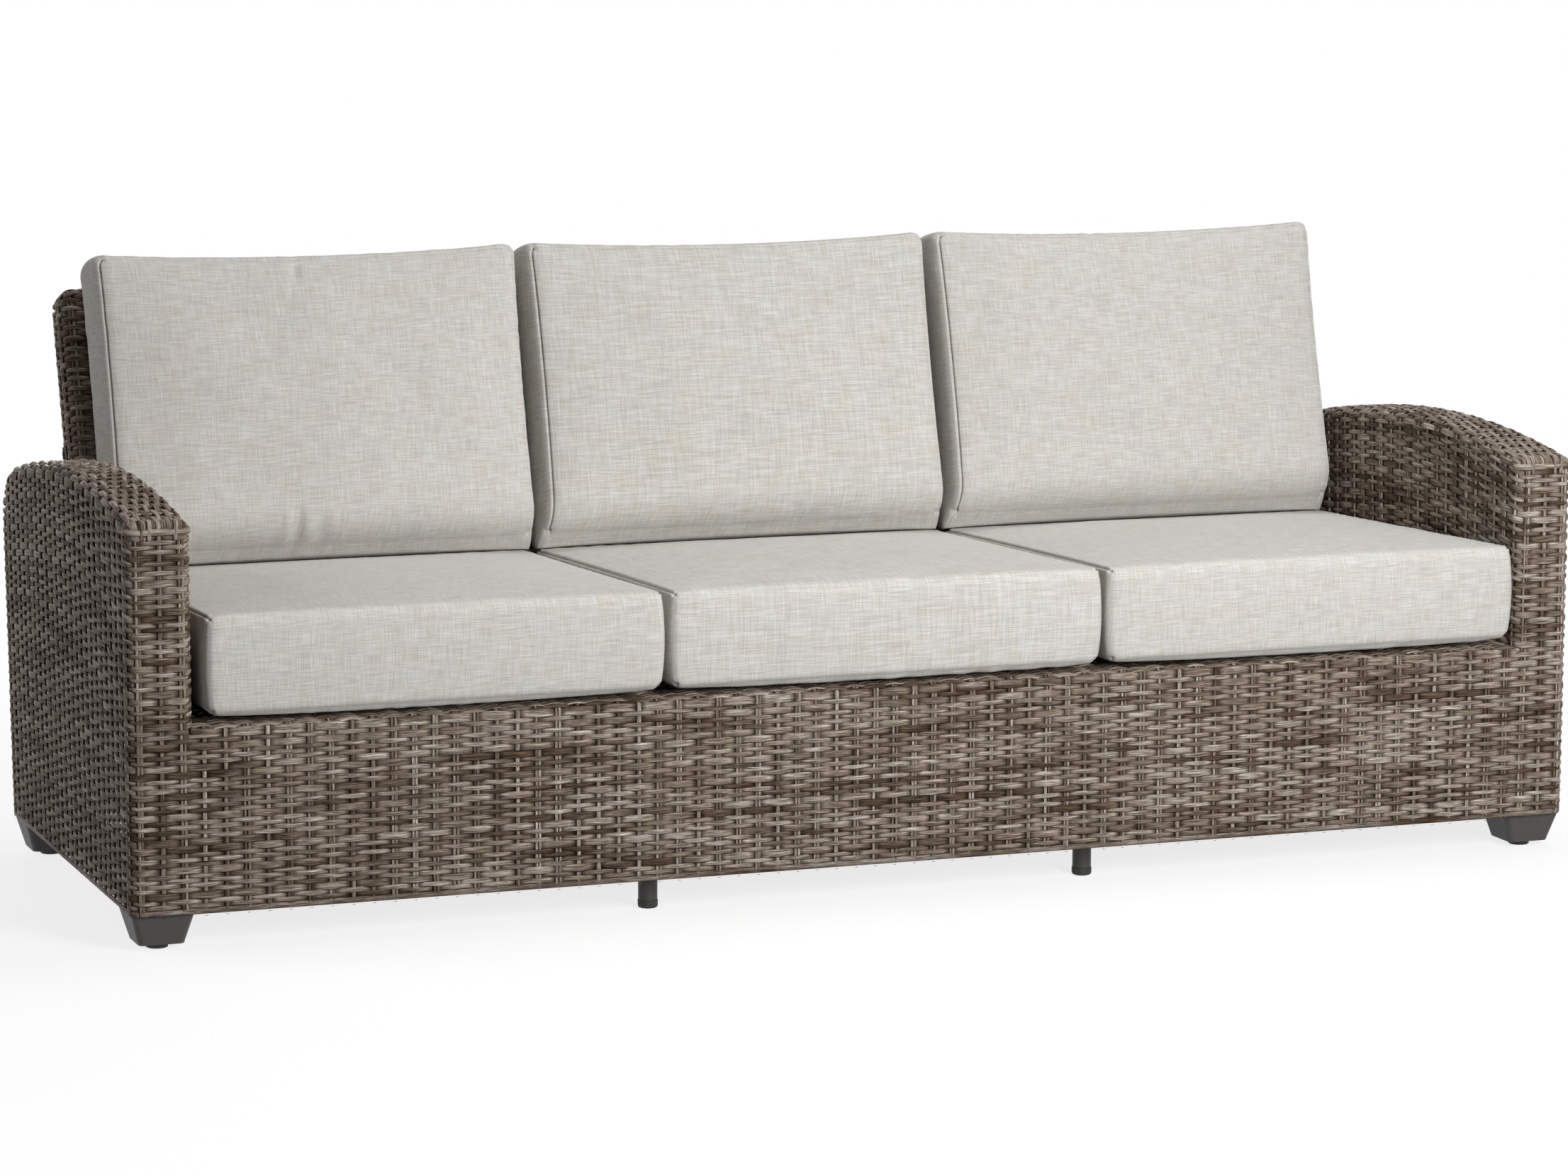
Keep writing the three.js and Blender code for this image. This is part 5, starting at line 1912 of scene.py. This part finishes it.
    def build(self, material: Material) -> None:
        """Make the finished cushion from the inflated cloth.

        Args:
            material: its cloth.
        """
        lattice, points, shares, out = self.fine_points()
        points = points + out * (self.seam(shares) + self.wrinkles(shares))[:, None]
        middle, axes = self.own_axes()
        placed = self.settle(points @ axes + middle, shares)
        piece = mesh_object(f"{self.name}_cover", placed, [lattice.quads()], material)
        add_attribute(piece, "cloth", self.cloth_places(lattice, shares))
        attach(piece, self.name)
        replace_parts(piece, self.name)
        log.info("%s: %d faces", piece.name, len(piece.data.polygons))

    def settle(self, points: Array, shares: Array) -> Array:
        """Let the cushion rest, so that nothing goes through what it lies on.

        Args:
            points: its points.
            shares: their places on the cushion, from nought to one.

        Returns:
            The points, settled.
        """
        x, y, z = points.T
        if self.rest is Rest.DECK:
            drop = SEAT.low - z
            pressed = drop / np.maximum(drop + SEAT.press_softness, 1e-6) * SEAT.press_reach
            z = np.where(drop > 0, SEAT.low - pressed, z)
            rise = np.clip((z - SEAT.low) / self.thickness, 0, 1)
            return columns(x, y, np.maximum(z - rise * seat_fall_at(y), SOFA.deck + SEAT.deck_gap))
        floor = seat_top_at(x, y, self.place * SEAT.pitch) + BACK_CUSHION.rest_gap
        z = np.maximum(z, floor)
        roll = np.clip(1 - (z - floor) / BACK_CUSHION.roll_height, 0, 1) ** 2
        y = y + BACK_CUSHION.roll_depth * roll * ease(shares[:, 2], 0.2, 1.0)
        return columns(x, np.minimum(y, back_face_at(z) - BACK_CUSHION.rest_gap), z)


SEAT_EDGES = (
    (1, 0, 2, 1, 15.0), (1, 0, 2, 0, 10.0), (0, 0, 2, 0, 12.0), (0, 1, 2, 0, 12.0),
    (0, 1, 2, 1, 7.0), (0, 0, 2, 1, 9.0),
    (0, 0, 1, 0, 16.0), (0, 1, 1, 0, 13.0), (0, 0, 1, 1, 20.0), (0, 1, 1, 1, 20.0))
BACK_EDGES = (
    (1, 0, 2, 1, 74.0), (1, 0, 2, 0, 16.0), (1, 1, 2, 0, 20.0), (0, 0, 2, 0, 14.0), (0, 1, 2, 0, 14.0),
    (0, 0, 2, 1, 16.0), (0, 1, 2, 1, 16.0), (1, 1, 2, 1, 15.0),
    (0, 0, 1, 1, 20.0), (0, 1, 1, 1, 20.0), (0, 0, 1, 0, 16.0), (0, 1, 1, 0, 16.0))
BACK_FOLDS = {
    "left": ((0.42, 0.085, 0.1, 34.0, 7.0), (0.48, 0.07, 0.2, 24.0, 4.5), (0.46, 0.94, 0.3, 24.0, 2.4)),
    "middle": ((0.62, 0.05, 0.2, 18.0, 1.4), (0.3, 0.95, 0.2, 18.0, 1.2)),
    "right": ((0.42, 0.95, -0.3, 22.0, 1.8),),
}
PLACES = {"left": -1, "middle": 0, "right": 1}


@dataclass
class CushionSet:
    """The six loose cushions."""

    palette: Palette

    def cushions(self) -> list[BoxCushion]:
        """List the cushions with their sizes and folds.

        Returns:
            The seat cushions and then the back cushions, each row from left to right.
        """
        seats = [
            BoxCushion(
                f"seat_cushion_{side}", Rest.DECK, SEAT.width, SEAT.depth, SEAT.high - SEAT.low, SEAT.crown,
                pull_in=4.0, side_pull=4.0, swell=4.0, cap=7.0, fill=0.85, place=place, seed=5 + place,
                fullness=0.75, base_inset=1.0, ripple=0.5, soft_edges=SEAT_EDGES, seam_near=0.1,
                seam_corner=0.7, corner_shift=13.0, seam_base=0.15)
            for side, place in PLACES.items()]
        backs = [
            BoxCushion(
                f"back_cushion_{side}", Rest.BACK, BACK_CUSHION.width, BACK_CUSHION.length,
                BACK_CUSHION.thickness, BACK_CUSHION.crown, pull_in=12.0, side_pull=5.0, swell=6.0, cap=24.0,
                fill=0.7, place=place, seed=25 + place, sag=7.0, dome=0.72, fullness=0.6,
                soft_edges=BACK_EDGES, seam_near=0.0, folds=BACK_FOLDS[side])
            for side, place in PLACES.items()]
        return seats + backs

    def build(self) -> None:
        """Inflate all the cushions together, then finish each."""
        cushions = self.cushions()
        cloths = [cushion.start_cloth() for cushion in cushions]
        scene = bpy.context.scene
        for step in range(1, CLOTH_FRAMES + 1):
            scene.frame_set(step)
        for cushion, cloth in zip(cushions, cloths):
            cushion.take_cloth(cloth)
        scene.frame_set(1)
        for cushion in cushions:
            cushion.build(self.palette.linen)


@dataclass
class Underframe:
    """The tubes, feet, legs and glides that the CAD model already shapes: each gets its finish."""

    palette: Palette
    foot_edge_mm: float = 2.2
    small_edge_mm: float = 0.8
    edge_steps: int = 3

    def build(self) -> None:
        """Dress the CAD nodes, and ease the edges of the feet, caps and glides."""
        finishes = {
            "foot_": self.palette.foot, "support_leg": self.palette.leg, "support_cap": self.palette.nylon,
            "leveller_pad": self.palette.nylon, "leveller_stud": self.palette.steel,
        }
        for name, node in frame["nodes"].items():
            material = next((m for start, m in finishes.items() if name.startswith(start)), self.palette.tube)
            node.data.materials.clear()
            node.data.materials.append(material)
            if name.startswith(("foot_", "support_cap", "leveller_pad")):
                width = self.foot_edge_mm if name.startswith("foot_") else self.small_edge_mm
                bevel = node.modifiers.new("eased_edges", "BEVEL")
                bevel.width = width / MM_PER_M
                bevel.segments = self.edge_steps
                bevel.limit_method = "ANGLE"
        log.info("dressed %d CAD nodes", len(frame["nodes"]))


@dataclass
class Studio:
    """The floor, the lamps and the camera. Its lengths are the frame's metres."""

    # Where the photograph was taken from, solved from the sofa's straight edges
    eye: Place = (-2.73319, FRONT_FACE - 6.85065, 1.61625)
    yaw: float = math.radians(-20.59)
    pitch: float = math.radians(-8.9)
    roll: float = math.radians(0.26)
    lens: float = 117.99
    sensor: float = 36
    view_reach: float = 200
    ambient: float = 0.12
    floor_reach: float = 9.0
    # The floor lights the sofa as a mid grey, and looks near white close to it and white further off
    floor_bounce: str = "#7c7c7c"
    floor_shade: str = "#868686"
    floor_glow: float = 0.8
    floor_fade: tuple[float, float] = (1.3, 2.6)

    def build(self) -> None:
        """Make the camera, the world, the floor and the lamps."""
        self.build_camera()
        self.build_world()
        self.build_floor()
        self.add_softbox("key_softbox", (0.72, -3.6, 1.62), (0.0, -0.2, 0.4), 1.4, 128.0)
        self.add_softbox("top_softbox", (1.3, 0.4, 4.5), (0.0, 0.0, 0.4), 2.4, 72.0)
        self.add_softbox("fill_softbox", (-3.6, 1.3, 1.7), (0.0, 0.0, 0.5), 1.6, 22.0)
        self.add_softbox("rear_softbox", (0.4, 4.2, 1.1), (0.0, 0.3, 0.5), 1.6, 70.0)
        bpy.context.scene.view_settings.view_transform = "Standard"

    def stand(self, name: str, data: bpy.types.ID, place: Place, axes: list[Array]) -> Piece:
        """Stand a camera or a lamp in the scene.

        Args:
            name: its name.
            data: its Blender data.
            place: where it stands.
            axes: the directions of its right, its top and its back.

        Returns:
            The new object.
        """
        item = bpy.data.objects.new(name, data)
        bpy.context.scene.collection.objects.link(item)
        item.matrix_world = Matrix.Translation(place) @ Matrix(columns(*axes).tolist()).to_4x4()
        return item

    def build_camera(self) -> None:
        """Stand the camera where the photograph was taken from."""
        level = math.cos(self.pitch)
        forward = np.array([-math.sin(self.yaw) * level, math.cos(self.yaw) * level, math.sin(self.pitch)])
        right = unit(np.cross(forward, [0.0, 0.0, 1.0]))
        up = np.cross(right, forward)
        sine, cosine = math.sin(self.roll), math.cos(self.roll)
        data = bpy.data.cameras.new("camera")
        data.lens = self.lens
        data.sensor_width = self.sensor
        data.clip_end = self.view_reach
        axes = [right * cosine + up * sine, -right * sine + up * cosine, -forward]
        bpy.context.scene.camera = self.stand("camera", data, self.eye, axes)

    def add_softbox(self, name: str, place: Place, target: Place, size: float, power: float) -> None:
        """Add a large soft lamp.

        Args:
            name: its name.
            place: where it stands.
            target: what it points at.
            size: the length of its side.
            power: its power in watts.
        """
        data = bpy.data.lights.new(name, "AREA")
        data.energy = power
        data.size = size
        back = unit(np.array(place) - np.array(target))
        right = unit(np.cross([0.0, 0.0, 1.0], back))
        self.stand(name, data, place, [right, np.cross(back, right), back])

    def seen_directly(self, tree: Tree) -> Socket:
        """Tell the rays that show a surface from those that light with it.

        Args:
            tree: the node tree that asks.

        Returns:
            One for camera, glossy and transmission rays, and nought for the rest.
        """
        path = add_node(tree, "LightPath").outputs
        seen = path["Is Camera Ray"]
        for kind in ("Is Glossy Ray", "Is Transmission Ray"):
            seen = add_node(tree, "Math", {0: seen, 1: path[kind]}, operation="MAXIMUM").outputs[0]
        return seen

    def build_world(self) -> None:
        """Make a white surround that lights the sofa only softly."""
        world = bpy.data.worlds.new("studio")
        bpy.context.scene.world = world
        tree = start_tree(world)
        white = linear(WHITE)
        soft = add_node(tree, "Background", {"Color": white, "Strength": self.ambient})
        shown = add_node(tree, "Background", {"Color": white, "Strength": 1.0})
        mixed = add_node(tree, "MixShader", {
            0: self.seen_directly(tree), 1: soft.outputs[0], 2: shown.outputs[0]})
        add_node(tree, "OutputWorld", {"Surface": mixed.outputs[0]})

    def build_floor(self) -> None:
        """Lay a pale floor that shows white, with the sofa's soft shadow on it."""
        material = bpy.data.materials.new("matte_white_floor")
        tree = start_tree(material)
        white = linear(WHITE)
        plain = add_node(tree, "BsdfDiffuse", {"Color": linear(self.floor_bounce)})
        shaded = add_node(tree, "BsdfDiffuse", {"Color": linear(self.floor_shade)})
        glow = add_node(tree, "Emission", {"Color": white, "Strength": self.floor_glow})
        near = add_node(tree, "AddShader", {0: shaded.outputs[0], 1: glow.outputs[0]})
        far = add_node(tree, "Emission", {"Color": white, "Strength": 1.0})
        place = add_node(tree, "TexCoord").outputs["Object"]
        distance = add_node(tree, "VectorMath", {0: place}, operation="LENGTH").outputs["Value"]
        start, end = self.floor_fade
        fade = add_node(tree, "MapRange", {
            "Value": distance, "From Min": start, "From Max": end}, interpolation_type="SMOOTHSTEP")
        seen = add_node(tree, "MixShader", {0: fade.outputs[0], 1: near.outputs[0], 2: far.outputs[0]})
        surface = add_node(tree, "MixShader", {
            0: self.seen_directly(tree), 1: plain.outputs[0], 2: seen.outputs[0]})
        add_node(tree, "OutputMaterial", {"Surface": surface.outputs[0]})
        signs = np.array([[-1, -1, 0], [1, -1, 0], [1, 1, 0], [-1, 1, 0]])
        corners = signs * self.floor_reach * MM_PER_M
        mesh_object("floor", corners, [np.array([[0, 1, 2, 3]])], material)


def main() -> None:
    """Build the sofa's pieces in order."""
    logging.basicConfig(level=logging.INFO, format="%(message)s")
    Studio().build()
    palette = Palette()
    Underframe(palette).build()
    CushionSet(palette).build()
    arms = WovenArms(palette)
    arms.build()
    SkirtWeave(palette, arms).build()
    WovenBack(palette).build()


if __name__ == "__main__":
    main()
